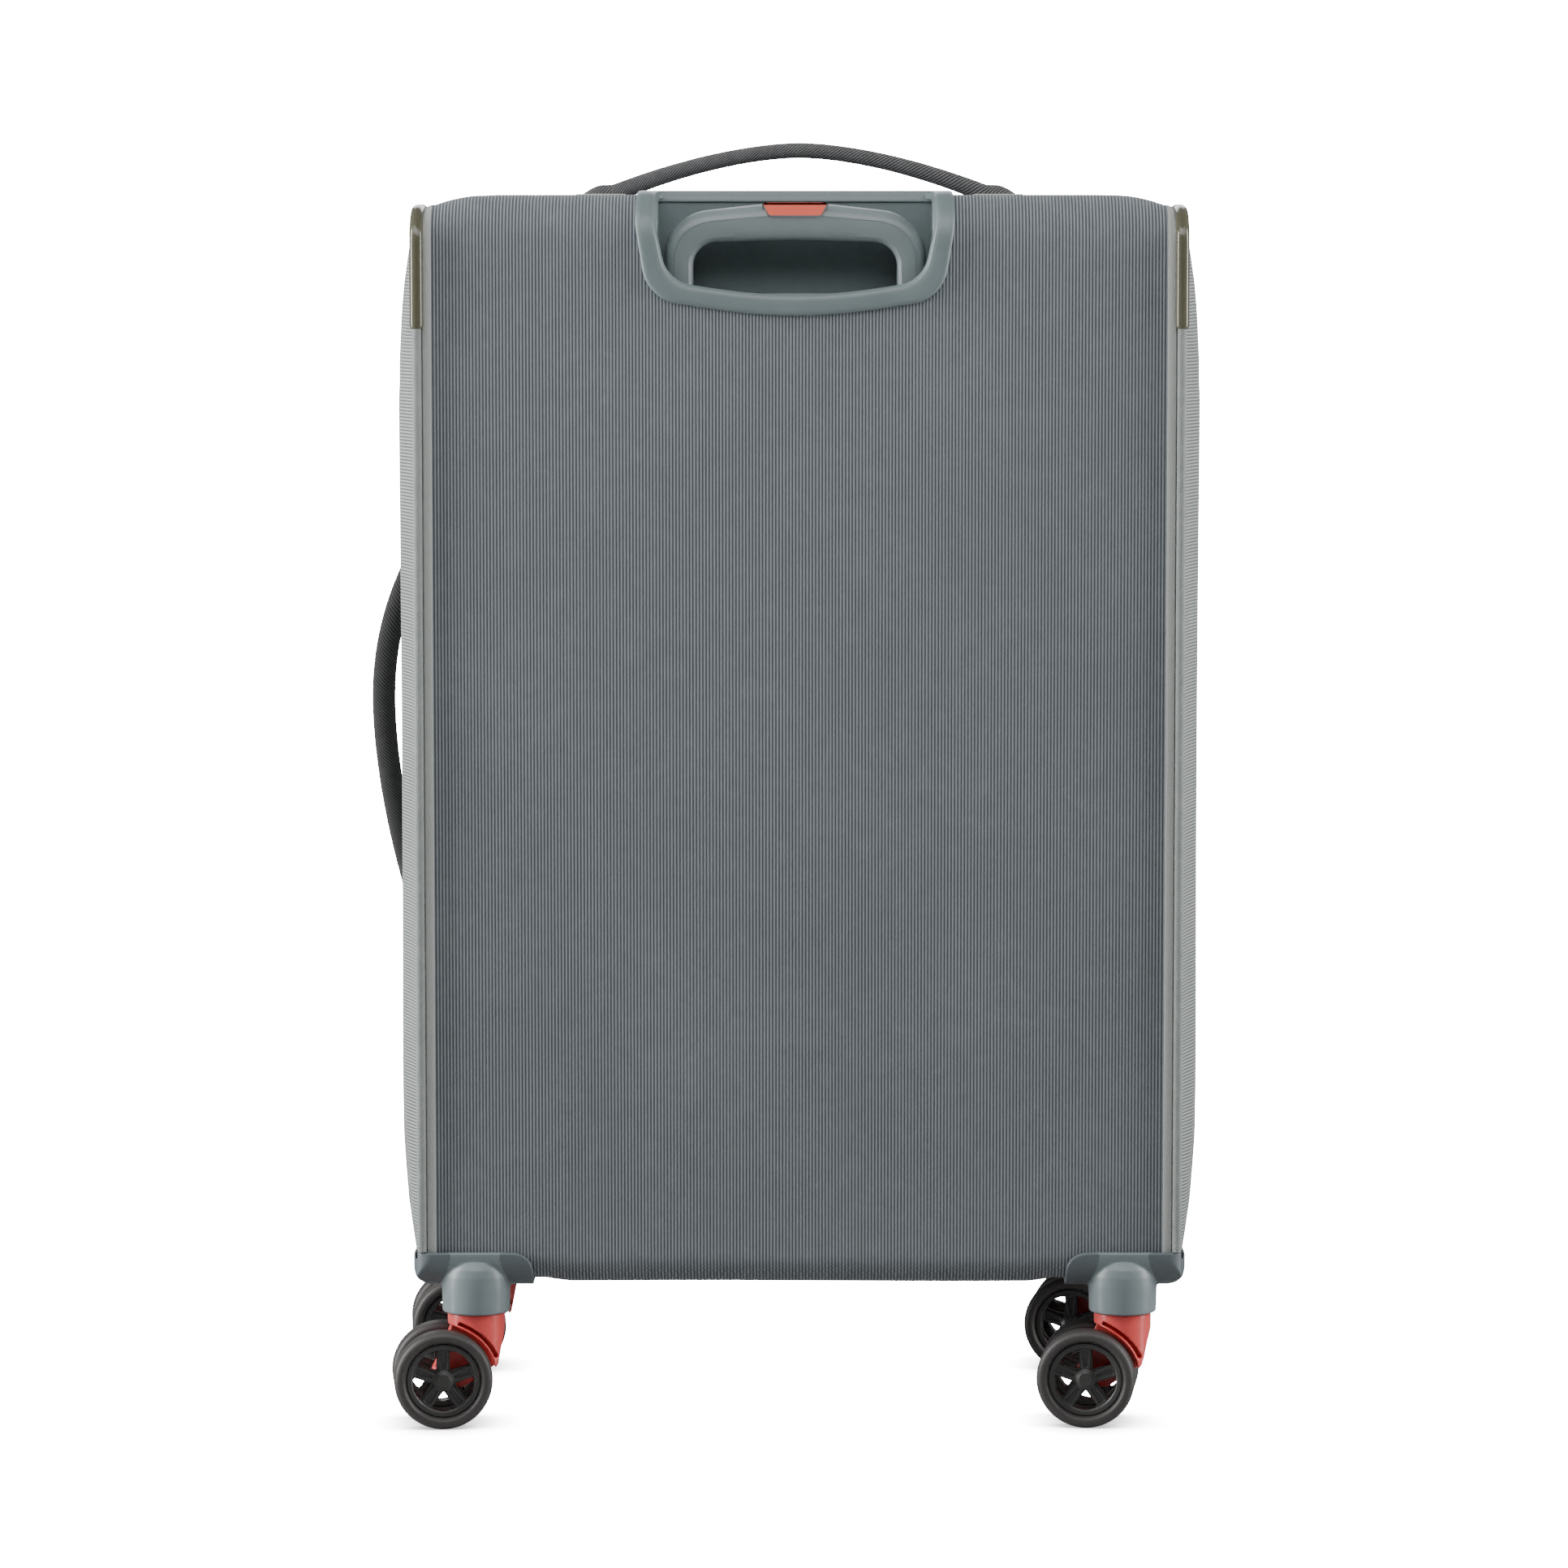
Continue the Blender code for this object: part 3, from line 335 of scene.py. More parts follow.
SKIN = {
    "back_fabric": ribbed_weave("back_fabric", "x"),
    # The sides' cloth is the back's weave with a lighter cord and ground: painted light on the lit
    # sides.
    "side_fabric_painted_lit": ribbed_weave("side_fabric_painted_lit", "z", shade((182, 186, 184)), shade((96, 101, 101))),
    "piping": bias_weave("piping", shade((186, 192, 188)), shade((98, 104, 103))),
    "handle": bias_weave("handle", shade((126, 126, 127)), shade((48, 49, 50)), 2.1 * MM),
    # The side handle's weave is the top handle's made darker: painted shade on its side away from
    # the lamps.
    "side_handle": bias_weave("side_handle_weave_painted_shade", shade((70, 70, 70)), shade((28, 29, 30)),
                              2.1 * MM),
    "hem": plain_cloth("hem", shade((186, 190, 187))),
    "seam": plain_cloth("seam", shade((38, 41, 42)), 0.7 * MM),
    "tape": plain_cloth("tape", shade((62, 67, 69)), 0.8 * MM),
    "lining": plain_cloth("lining", shade((120, 125, 128)), 0.9 * MM),
    "webbing": plain_cloth("webbing", shade((52, 55, 57)), 1.6 * MM),
    "thread": plain_cloth("thread", shade((128, 136, 137)), 0.4 * MM),
    "guard": moulded("guard", shade((88, 87, 72)), 0.18, 500, 0.02 * MM, 0.14, Coat_Weight=0.3),
    "grey": moulded("grey", shade((114, 126, 128)), 0.38),
    # The dome is the housing plate's plastic made lighter: painted light on the dome.
    "dome": moulded("dome", shade((117, 128, 131)), 0.38),
    "plate": moulded("plate", shade((94, 102, 106)), 0.42),
    # A darker copy of the tray's grey, as painted shade for the tray's recess; no piece uses it.
    "recess": moulded("recess", shade((100, 108, 111)), 0.42),
    "grip": moulded("grip_finish", shade((124, 135, 137)), 0.33),
    "red": moulded("red", shade((226, 82, 80)), 0.34),
    "button": moulded("button", shade((255, 116, 98)), 0.25, cloud=0.05),
    "hub": moulded("hub", shade((60, 60, 59)), 0.38),
    "tyre": moulded("tyre", shade((66, 64, 63)), 0.5, 700, 0.08 * MM),
    "black": moulded("black", shade((34, 35, 35)), 0.5),
    "steel": brushed("steel", (0.62, 0.63, 0.64), 0.30),
    "tube": brushed("tube", (0.72, 0.73, 0.75), 0.28),
    "zip": moulded("zip", (0.34, 0.35, 0.36), 0.30, 600, 0.03 * MM, 0.12, 1.0),
    "teeth": moulded("teeth", shade((60, 64, 66)), 0.4),
}
print(len(SKIN), "finishes")

# %% [markdown]
# ## Tools for shaping
# Most pieces here start as a grid primitive whose points are moved onto rows of a real outline,
# because a suitcase is mostly things wrapped or swept along a path. A slab is an outline that is
# filled and extruded. Modifiers are applied at once, so each piece is a plain mesh at the end.

# %% Shaping tools


def only(*objs):
    bpy.ops.object.select_all(action="DESELECT")
    for obj in objs:
        obj.select_set(True)
    bpy.context.view_layer.objects.active = objs[0]


def at(x, y, z):
    """A place from the middle of the case, its back panel and the floor."""
    return Vector((MID + x, BACK + y, z))


def modify(obj, kind, **settings):
    only(obj)
    modifier = obj.modifiers.new(kind.lower(), kind)
    for key, value in settings.items():
        setattr(modifier, key, value)
    bpy.ops.object.modifier_apply(modifier=modifier.name)
    return obj


def editing(obj, *steps):
    """Runs edit-mode operators, each a function, on all of a piece."""
    only(obj)
    bpy.ops.object.mode_set(mode="EDIT")
    bpy.ops.mesh.select_all(action="SELECT")
    for step in steps:
        step()
    bpy.ops.object.mode_set(mode="OBJECT")
    return obj


def merge():
    bpy.ops.mesh.remove_doubles(threshold=0.00002)


def outward():
    bpy.ops.mesh.normals_make_consistent(inside=False)


def cap():
    bpy.ops.mesh.select_all(action="DESELECT")
    bpy.ops.mesh.select_non_manifold(extend=False)
    bpy.ops.mesh.fill_holes(sides=0)
    bpy.ops.mesh.select_all(action="SELECT")


def pick_all():
    bpy.ops.mesh.select_all(action="SELECT")


def spread(low, high, count):
    """Values at equal steps, both ends among them."""
    return [low + (high - low) * k / count for k in range(count + 1)]


def ring(centre, across, up, wide, high, count):
    """Points of an ellipse round centre, in the plane of across and up."""
    return [centre + across * (wide * math.cos(t)) + up * (high * math.sin(t))
            for t in spread(0, 2 * math.pi, count)[:-1]]


def lengths(points):
    """How far along the path each of its points is."""
    run = [0.0]
    for a, b in zip(points, points[1:]):
        run.append(run[-1] + (Vector(b) - Vector(a)).length)
    return run


def wrapped(name, rows, closed=False, ends=False):
    """A grid primitive moved onto rows of points; its UV map holds lengths in metres."""
    rows = [list(row) + ([row[0]] if closed else []) for row in rows]
    across = len(rows[0])
    bpy.ops.object.select_all(action="DESELECT")
    bpy.ops.mesh.primitive_grid_add(x_subdivisions=across - 1, y_subdivisions=len(rows) - 1)
    obj = bpy.context.object
    obj.name = name
    obj.data.vertices.foreach_set("co", [c for row in rows for point in row for c in point])
    v_run = max((lengths(row) for row in rows), key=lambda run: run[-1])
    u_run = lengths([row[0] for row in rows])
    layer = obj.data.uv_layers.active.data
    for loop in obj.data.loops:
        row, column = divmod(loop.vertex_index, across)
        layer[loop.index].uv = (u_run[row], v_run[column])
    editing(obj, merge, *([cap] if ends else []), outward)
    return obj


def fillet(corners, step=6):
    """A closed outline whose corners (u, v, radius) are rounded, as (u, v) points."""
    points = []
    count = len(corners)
    for k, (u, v, radius) in enumerate(corners):
        here = Vector((u, v))
        before = (Vector(corners[k - 1][:2]) - here).normalized()
        after = (Vector(corners[(k + 1) % count][:2]) - here).normalized()
        half = before.angle(after, math.pi) / 2
        if radius <= 0 or half > math.pi / 2 - 0.01:
            points.append(here)
            continue
        centre = here + (before + after).normalized() * (radius / math.sin(half))
        start = here + before * (radius / math.tan(half)) - centre
        end = here + after * (radius / math.tan(half)) - centre
        sweep = start.angle_signed(end)
        steps = max(2, math.ceil(abs(math.degrees(sweep)) / step))
        for i in range(steps + 1):
            turn = -sweep * i / steps
            points.append(centre + Matrix.Rotation(turn, 2) @ start)
    return points


def rounded(left, low, right, high, radius, step=6):
    """The outline of a rectangle with round corners."""
    return fillet([(left, low, radius), (right, low, radius), (right, high, radius),
                   (left, high, radius)], step)


def two_sided(side, centre=0.0):
    """A symmetric outline's corners, from one side's (offset, height, radius) in order."""
    other = [(-u, v, radius) for u, v, radius in reversed(side) if u]
    return [(centre + u, v, radius) for u, v, radius in side + other]


def paced(path, goals):
    """Yields the point of a path at each distance from its start, and the step it lies on."""
    run = lengths(path)
    k = 0
    for goal in goals:
        while k < len(run) - 2 and run[k + 1] < goal:
            k += 1
        share = (goal - run[k]) / max(run[k + 1] - run[k], 1e-9)
        yield path[k].lerp(path[k + 1], share), path[k + 1] - path[k]


def evenly(points, count):
    """The same closed outline with points at equal steps."""
    loop = [Vector(p) for p in points] + [Vector(points[0])]
    whole = lengths(loop)[-1]
    return [point for point, _ in paced(loop, [whole * i / count for i in range(count)])]


def open_path(corners, count):
    """An open path with rounded corners, at equal steps."""
    first, last = corners[0], corners[-1]
    path = fillet([(first[0], first[1] - 1, 0), *corners, (last[0], last[1] - 1, 0)], 2)[1:-1]
    whole = lengths(path)[-1]
    return [point for point, _ in paced(path, [whole * i / count for i in range(count + 1)])]


FACING = {"y": lambda u, v, w: at(u, w, v), "z": lambda u, v, w: at(u, v, w),
          "x": lambda u, v, w: at(w, u, v)}


def slab(name, outline, low, high, facing="y"):
    """An outline filled and extruded from low to high."""
    bpy.ops.object.select_all(action="DESELECT")
    bpy.ops.mesh.primitive_circle_add(vertices=len(outline), fill_type="NGON")
    obj = bpy.context.object
    obj.name = name
    place = FACING[facing]
    for vertex, (u, v) in zip(obj.data.vertices, outline):
        vertex.co = place(u, v, low)
    shift = place(0, 0, high) - place(0, 0, low)
    push = {"value": shift}
    editing(obj, lambda: bpy.ops.mesh.extrude_region_move(TRANSFORM_OT_translate=push),
            pick_all, outward)
    return obj


def turned(name, profile, steps):
    """A profile of (radius, height) points spun round the z axis."""
    bpy.ops.object.select_all(action="DESELECT")
    bpy.ops.mesh.primitive_circle_add(vertices=len(profile))
    obj = bpy.context.object
    obj.name = name
    for vertex, (radius, height) in zip(obj.data.vertices, profile):
        vertex.co = (radius, 0, height)
    editing(obj, lambda: bpy.ops.mesh.spin(steps=steps, angle=2 * math.pi, center=(0, 0, 0),
                                           axis=(0, 0, 1)), pick_all, merge, outward)
    return obj


def boolean(obj, operation, *others):
    for other in others:
        modify(obj, "BOOLEAN", operation=operation, object=other, solver="EXACT")
        bpy.data.objects.remove(other)
    return obj


def soften(obj, width, segments=2, angle=32):
    return modify(obj, "BEVEL", width=width, segments=segments, limit_method="ANGLE",
                  angle_limit=math.radians(angle), harden_normals=False)


def placed(obj):
    """The piece's place goes into its mesh, so its object sits at the origin."""
    only(obj)
    bpy.ops.object.transform_apply(location=True, rotation=True, scale=True)
    return obj


def joined(name, pieces):
    only(*pieces)
    bpy.ops.object.join()
    obj = bpy.context.object
    obj.name = name
    return placed(obj)


def dressed(obj, skin, body, slot, *nodes, angle=35):
    """The last step of each piece: its finish, its body and the CAD nodes it stands for."""
    obj.data.materials.clear()
    obj.data.materials.append(SKIN[skin])
    only(obj)
    bpy.ops.object.shade_smooth_by_angle(angle=math.radians(angle))
    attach(obj, body)
    if nodes:
        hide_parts(*nodes)
    print(obj.name, len(obj.data.polygons), "faces on", body)
    return obj


def copied(obj, name):
    other = obj.copy()
    other.data = obj.data.copy()
    other.name = name
    bpy.context.scene.collection.objects.link(other)
    return other


def mirrored(obj, name):
    """The other hand of a piece, turned right side out again."""
    other = copied(obj, name)
    for vertex in other.data.vertices:
        vertex.co.x = 2 * MID - vertex.co.x
    other.data.flip_normals()
    return other


def facing_camera(obj):
    """An open sheet on the case's back, turned so that its faces look at the camera."""
    if obj.data.polygons[len(obj.data.polygons) // 2].normal.y > 0:
        obj.data.flip_normals()
    return obj


# %% [markdown]
# ## The wrap: top, back and bottom in one strip
# One strip of ribbed fabric over foam board runs up the back, over the top and under the bottom.
# It turns over the top with a 26 mm radius and more tightly below, and at the top it droops
# towards the seams, where the board ends. The profile is a path of distance along the strip, so
# anything on the strip, such as the handle's rim, can be placed by (across, along, proud).

# %% The strip's path
TURN = 0.026
FOOT_TURN = 0.015
DEPTH = ZIP - BACK
UP = TOP - BOTTOM - TURN - FOOT_TURN
ARC = TURN * math.pi / 2
FOOT_ARC = FOOT_TURN * math.pi / 2


DROOP, DROOP_WIDTH, DROOP_HIGH = 0.0075, 0.034, 0.05


def droop(x):
    """How far the top falls near its corners."""
    return DROOP * max(0, (abs(x) - (SEAM - DROOP_WIDTH)) / DROOP_WIDTH) ** 2


def near_top(z):
    """0 up to where the droop fades out, 1 at the top."""
    return max(0, (z - (TOP - DROOP_HIGH)) / DROOP_HIGH)


def drooped(x, y, z):
    return at(x, y, z - droop(x) * near_top(z))


def on_strip(x, along, proud=0.0):
    """A point on the strip; along starts at the floor end of the back panel's flat."""
    if along < -FOOT_ARC:
        y, z, normal = FOOT_TURN - along - FOOT_ARC, BOTTOM, (0, -1)
    elif along < 0:
        turn = along / FOOT_TURN
        y = FOOT_TURN - FOOT_TURN * math.cos(turn)
        z = BOTTOM + FOOT_TURN + FOOT_TURN * math.sin(turn)
        normal = (-math.cos(turn), math.sin(turn))
    elif along < UP:
        y, z, normal = 0.0, BOTTOM + FOOT_TURN + along, (-1, 0)
    elif along < UP + ARC:
        turn = (along - UP) / TURN
        y, z = TURN - TURN * math.cos(turn), TOP - TURN + TURN * math.sin(turn)
        normal = (-math.cos(turn), math.sin(turn))
    else:
        y, z, normal = TURN + min(along - UP - ARC, DEPTH - TURN), TOP, (0, 1)
    share = min(1, max(0, (z - (TOP - TURN)) / TURN))
    z -= droop(x) * share
    return at(x, y + normal[0] * proud, z + normal[1] * proud)


START = -FOOT_ARC - (DEPTH - FOOT_TURN)
END = UP + ARC + DEPTH - TURN


TURNS = spread(START, -FOOT_ARC, 14)[:-1] + spread(-FOOT_ARC, 0, 8)[:-1] + spread(0, UP, 44)[:-1]
TURNS += spread(UP, UP + ARC, 8)[:-1] + spread(UP + ARC, END, 14)
print("strip", round(END - START, 3), "m long")

# %% The fabric of the wrap
EDGE = SEAM - 0.0004


def back_swell(x, along):
    """Foam under the fabric: a shallow crown, slightly uneven, and a foot that sags."""
    share = 1 - (abs(x) / SEAM) ** 6
    rise = math.sin(math.pi * min(1, max(0, (along - START) / (END - START)))) ** 0.4
    sag = min(1, max(0, -along / FOOT_ARC)) * min(1, max(0, (SEAM - 66 * MM - abs(x)) / 0.014))
    wander = math.sin(along * 17 + 1) * math.sin(x * 23) + 0.6 * math.sin(along * 31 + x * 19)
    return 0.0006 * share * rise + 0.00025 * wander * share + 0.0024 * sag


columns = spread(-EDGE, EDGE, 84)
wrap = wrapped("wrap_fabric", [[on_strip(x, s, back_swell(x, s)) for x in columns] for s in TURNS])
modify(facing_camera(wrap), "SOLIDIFY", thickness=0.0014, offset=-1, use_quality_normals=True)
print("wrap", len(wrap.data.polygons), "faces")

# %% [markdown]
# ## The handle's tray
# The grip sinks into a moulded tray. Its rim lies on the fabric like a picture frame and wraps
# over the top edge with it; inside, the walls drop to a floor that the tubes come through. Rings
# of the same outline, each a little smaller and higher or deeper, are wrapped on the strip, so
# the rim gets a real rounded section all the way round.

# %% The rim's outlines, across and along the strip
tray_low, tray_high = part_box("handle_tray")
grip_low, grip_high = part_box("grip")
HANDLE_X = middle("grip").x - MID
RIM_HALF = (tray_high.x - tray_low.x) / 2
FLOOR_Z = grip_low.z - 2.2 * MM
RECESS = grip_high.y - BACK + 9 * MM


def along_of(z):
    """Distance along the strip of a height on the back's flat."""
    return z - BOTTOM - FOOT_TURN


RIM_TOP = UP + ARC + RECESS - TURN + 3 * MM
RING_POINTS = 220
# In mm: in from the rim's outer edge, in from its top, and proud of the fabric.
RIM_RINGS = ((0, 0, 0.1), (0.05, 0.05, 1.3), (0.5, 0.4, 2.2), (1.4, 0.9, 2.75), (3.0, 1.4, 2.9),
             (7.5, 1.9, 2.7), (9.6, 2.4, 2.45), (10.4, 2.8, 1.9), (11.0, 3.2, 0.9),
             (11.6, 3.5, -1.5))


def rim_outline(inset, top_inset):
    half = RIM_HALF - inset
    shoulder = 9 * MM - min(inset, 6 * MM) * 0.7
    foot = along_of(FLOOR_Z - 3.0 * MM) + inset * 0.9
    side = [(half - 1.5 * MM, RIM_TOP - top_inset, shoulder),
            (half, along_of(FLOOR_Z + 40 * MM), 0.05), (half - 7 * MM, foot, 0.0235 - inset * 0.35),
            (0, along_of(FLOOR_Z - 15.5 * MM) + inset, 0.30)]
    return evenly(fillet(two_sided(side), 3), RING_POINTS)


def recess_outline(inset):
    """The walls behind the rim: straight sides and a flat floor with round corners."""
    half = RIM_HALF - 12.6 * MM - inset
    side = [(half, RIM_TOP - 4.0 * MM, 2 * MM), (half, along_of(FLOOR_Z) + inset, 15 * MM)]
    return evenly(fillet(two_sided(side), 4), RING_POINTS)


def start_alike(outline):
    """The outline turned so that it starts at its highest middle point."""
    first = max(range(len(outline)), key=lambda k: outline[k][1] - abs(outline[k][0]) * 0.3)
    turned_round = outline[first:] + outline[:first]
    if turned_round[3][0] < turned_round[0][0]:
        turned_round = [turned_round[0]] + turned_round[:0:-1]
    return turned_round


def on_tray(outline, proud):
    return [on_strip(HANDLE_X + x, s, proud * MM) for x, s in start_alike(outline)]


rings = [on_tray(rim_outline(inset * MM, top_inset * MM), proud)
         for inset, top_inset, proud in RIM_RINGS]
rings += [on_tray(recess_outline(inset * MM), proud) for inset, proud in ((0.4, -2.4), (0, -3.4))]
back_wall = BACK + RECESS
centre_x = MID + HANDLE_X
walls = rings[-1]
for share, shrink in ((0.5, 1.0), (0.93, 1.0), (1.0, 0.996)):
    rings.append([Vector(((p.x - centre_x) * shrink + centre_x, p.y + (back_wall - p.y) * share,
                          p.z)) for p in walls])
rings.append([Vector((centre_x, back_wall, FLOOR_Z + 25 * MM))] * RING_POINTS)
tray = wrapped("tray", rings, closed=True)
if tray.data.polygons[RING_POINTS * 5].normal.y > 0:
    tray.data.flip_normals()
print("tray", len(rings), "rings,", round(RIM_HALF * 2 / MM), "mm across")

# %% Holes for the tubes, and the room behind the tray
GAP = 0.6 * MM
for hand in ("left", "right"):
    low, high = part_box(f"middle_tube_{hand}")
    plan = rounded(low.x - MID - GAP, low.y - BACK - GAP, high.x - MID + GAP, high.y - BACK + GAP,
                   3 * MM, 15)
    boolean(tray, "DIFFERENCE", slab("room", plan, FLOOR_Z - 0.02, FLOOR_Z + 0.012, "z"))
dressed(tray, "grey", "case", "grey_plastic", "handle_tray", angle=40)
half = RIM_HALF - 6 * MM
side = [(-half, TOP + 0.02, 0), (6 * MM - half, FLOOR_Z, 18 * MM), (0, FLOOR_Z - 9 * MM, 0.3)]
boolean(wrap, "DIFFERENCE", slab("hole", fillet(two_sided(side, HANDLE_X), 6), -0.02, RECESS))
for name in PLACES:
    pin = middle(f"swivel_pin_{name}")
    bpy.ops.mesh.primitive_cylinder_add(vertices=48, radius=0.0206, depth=0.04,
                                        location=(pin.x, pin.y, BOTTOM - 0.006))
    boolean(wrap, "DIFFERENCE", bpy.context.object)
dressed(wrap, "back_fabric", "case", "ribbed_fabric", "shell_wrap", angle=60)

# %% [markdown]
# ## The grip
# The grip is an arch of two moulded halves: a front face that leans back over its shoulders, a
# fine parting line, and a lip round the finger window. Its section changes little along the
# arch, so it is swept: each station joins a point of the outer outline to one of the window.

# %% Stations along the arch
GRIP_HALF = (grip_high.x - grip_low.x) / 2
GRIP_FRONT = grip_low.y - BACK
GRIP_DEPTH = grip_high.y - grip_low.y
GRIP_TOP = grip_high.z
LEG = 16.5 * MM
WINDOW = GRIP_TOP - 21 * MM


outer = open_path(two_sided([(-GRIP_HALF, grip_low.z, 0), (-GRIP_HALF, GRIP_TOP - 6 * MM, 0.027),
                             (0, GRIP_TOP + 2 * MM, 0.22)]), 120)
window = GRIP_HALF - LEG
inner = open_path(two_sided([(-window, grip_low.z, 0), (-window, WINDOW - 1.2 * MM, 0.0135),
                             (0, WINDOW + 0.8 * MM, 0.3)]), 120)
# Each pair is (from window to outside, 0 to 1; from front to back, 0 to 1).
SECTION = ((0.005, 0.16), (0.02, 0.115), (0.075, 0.06), (0.11, 0.045), (0.15, 0.018), (0.30, 0.0),
           (0.50, 0.004), (0.640, 0.012), (0.650, 0.024), (0.660, 0.012), (0.76, 0.040),
           (0.86, 0.10), (0.94, 0.20), (0.985, 0.34), (1.0, 0.52), (0.995, 0.72), (0.95, 0.88),
           (0.85, 0.97), (0.70, 1.0), (0.40, 1.0), (0.15, 0.985), (0.04, 0.93), (0.0, 0.80),
           (0.0, 0.45))
rows = []
for out, inn in zip(outer, inner):
    rows.append([at(HANDLE_X + inn[0] + (out[0] - inn[0]) * a, GRIP_FRONT + GRIP_DEPTH * b,
                    inn[1] + (out[1] - inn[1]) * a) for a, b in SECTION])
grip = wrapped("grip_moulding", rows, closed=True, ends=True)
button_low, button_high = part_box("release_button")
well_half = (button_high.x - button_low.x) / 2 + 0.8 * MM
well_foot, foot_round = 3.4 * MM - well_half, 1 * MM
mouth = [(-well_half, GRIP_TOP + 0.01, 0), (-well_half, GRIP_TOP - 2.4 * MM, 0.8 * MM),
         (well_foot, GRIP_TOP - 10.6 * MM, foot_round)]
well = slab("well", fillet(two_sided(mouth, HANDLE_X), 15), GRIP_FRONT + 2.0 * MM,
            GRIP_FRONT + GRIP_DEPTH - 3.5 * MM)
notch = [(0.2 * MM - well_half, GRIP_TOP + 0.01, 0), (well_foot, GRIP_TOP - 7.6 * MM, foot_round)]
face_well = slab("face_well", fillet(two_sided(notch, HANDLE_X), 15), GRIP_FRONT - 0.01,
                 GRIP_FRONT + 2.6 * MM)
boolean(grip, "DIFFERENCE", well, face_well)
dressed(grip, "grip", "grip_stage", "grip_plastic", "grip", angle=30)

# %% The red button
half = (button_high.x - button_low.x) / 2
front = button_low.y - BACK
PRESS = 3.2 * MM
SLANT = 3.4 * MM


def button_outline(low):
    edge, crown = button_high.z - 0.6 * MM, button_high.z + 0.2 * MM
    side = [(-half, edge, 1.2 * MM), (SLANT - half, low, 2.2 * MM)]
    top = [(HANDLE_X + half - 1 * MM, crown, 6 * MM), (HANDLE_X - half + 1 * MM, crown, 6 * MM)]
    return fillet(two_sided(side, HANDLE_X) + top, 8)


button = slab("button_cap", button_outline(button_low.z), front + 0.2 * MM,
              GRIP_FRONT - 0.15 * MM)
stem = slab("button_stem", button_outline(button_low.z + PRESS), front + 1 * MM,
            button_high.y - BACK)
boolean(button, "UNION", stem)
soften(button, 0.55 * MM, 4, 40)
dressed(button, "button", "release", "red_button", "release_button", angle=30)

# %% The release bar and its rods
# The button pushes a bar bent down at both ends, which reaches the catches in the tubes. Its
# bends are tighter than the grip's shoulders, so it stays hidden inside them.
bail_low, bail_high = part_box("release_bail")
BAIL_R = (bail_high.y - bail_low.y) / 2
bail_half = (bail_high.x - bail_low.x) / 2 - BAIL_R
bar_z = bail_high.z - 6.4 * MM
BAR_STEPS = 160
bar = open_path(two_sided([(-bail_half, bail_low.z, 0), (-bail_half, bar_z, 16 * MM)]), BAR_STEPS)
rows = []
for k, point in enumerate(bar):
    step = bar[min(k + 1, BAR_STEPS)] - bar[max(k - 1, 0)]
    across = Vector((-step[1], 0, step[0])).normalized()
    centre = at(HANDLE_X + point[0], middle("release_bail").y - BACK, point[1])
    rows.append(ring(centre, across, Vector((0, 1, 0)), BAIL_R, BAIL_R, 16))
bar = wrapped("release_bar", rows, closed=True, ends=True)
dressed(bar, "steel", "release", "steel", "release_bail", angle=60)

# %% [markdown]
# ## Casters
# Each caster is a grey housing (a guard plate round the case's corner with a dome moulded into
# it), a red fork that swivels under the dome, and two wheels on one axle. One of each is
# modelled, then copied to the four corners. The mouldings are first joined from plain shapes,
# then remeshed finely and smoothed, which rolls a soft fillet into every corner, as a mould does.

# %% Where each caster is
PLATE = 4.5 * MM
plate_low, plate_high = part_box("caster_housing_rear_right")
DOME_FOOT, PLATE_HIGH = plate_low.z, plate_high.z
PLATE_IN, PLATE_OUT = plate_low.x - MID, plate_high.x - MID
WALL = 1.8 * MM
DOME_R = 20.2 * MM
DOME_HIGH = BOTTOM + 13.4 * MM
# The dome's section: share of its radius, and mm down from its crown.
DOME = ((0.30, 0), (0.58, 0.9), (0.78, 3.2), (0.90, 6.6), (0.965, 11), (0.985, 17))
SWIVEL = middle("swivel_pin_rear_right").x - MID
WHEEL_R = middle("tyre_rear_right_outer").z


def moulding(obj, voxel, rounds):
    """Melts the joined shapes into one skin with soft inside corners."""
    modify(obj, "REMESH", mode="VOXEL", voxel_size=voxel, use_smooth_shade=True)
    modify(obj, "SMOOTH", factor=0.6, iterations=rounds)
    return obj


def corner_solid(proud, out, low, high):
    """The case's corner grown by proud, from the floor side up, as one solid."""
    turn = FOOT_TURN + proud
    outline = fillet([(-proud, low, turn), (DEPTH + 0.03, low, 0), (DEPTH + 0.03, high, 0),
                      (-proud, high, 0)], 6)
    return slab("corner", outline, 0.1, out, "x")


def round_at(profile, y, steps):
    """A profile spun round the swivel's axis."""
    obj = turned("round", profile, steps)
    obj.location = at(SWIVEL, y, 0)
    return placed(obj)


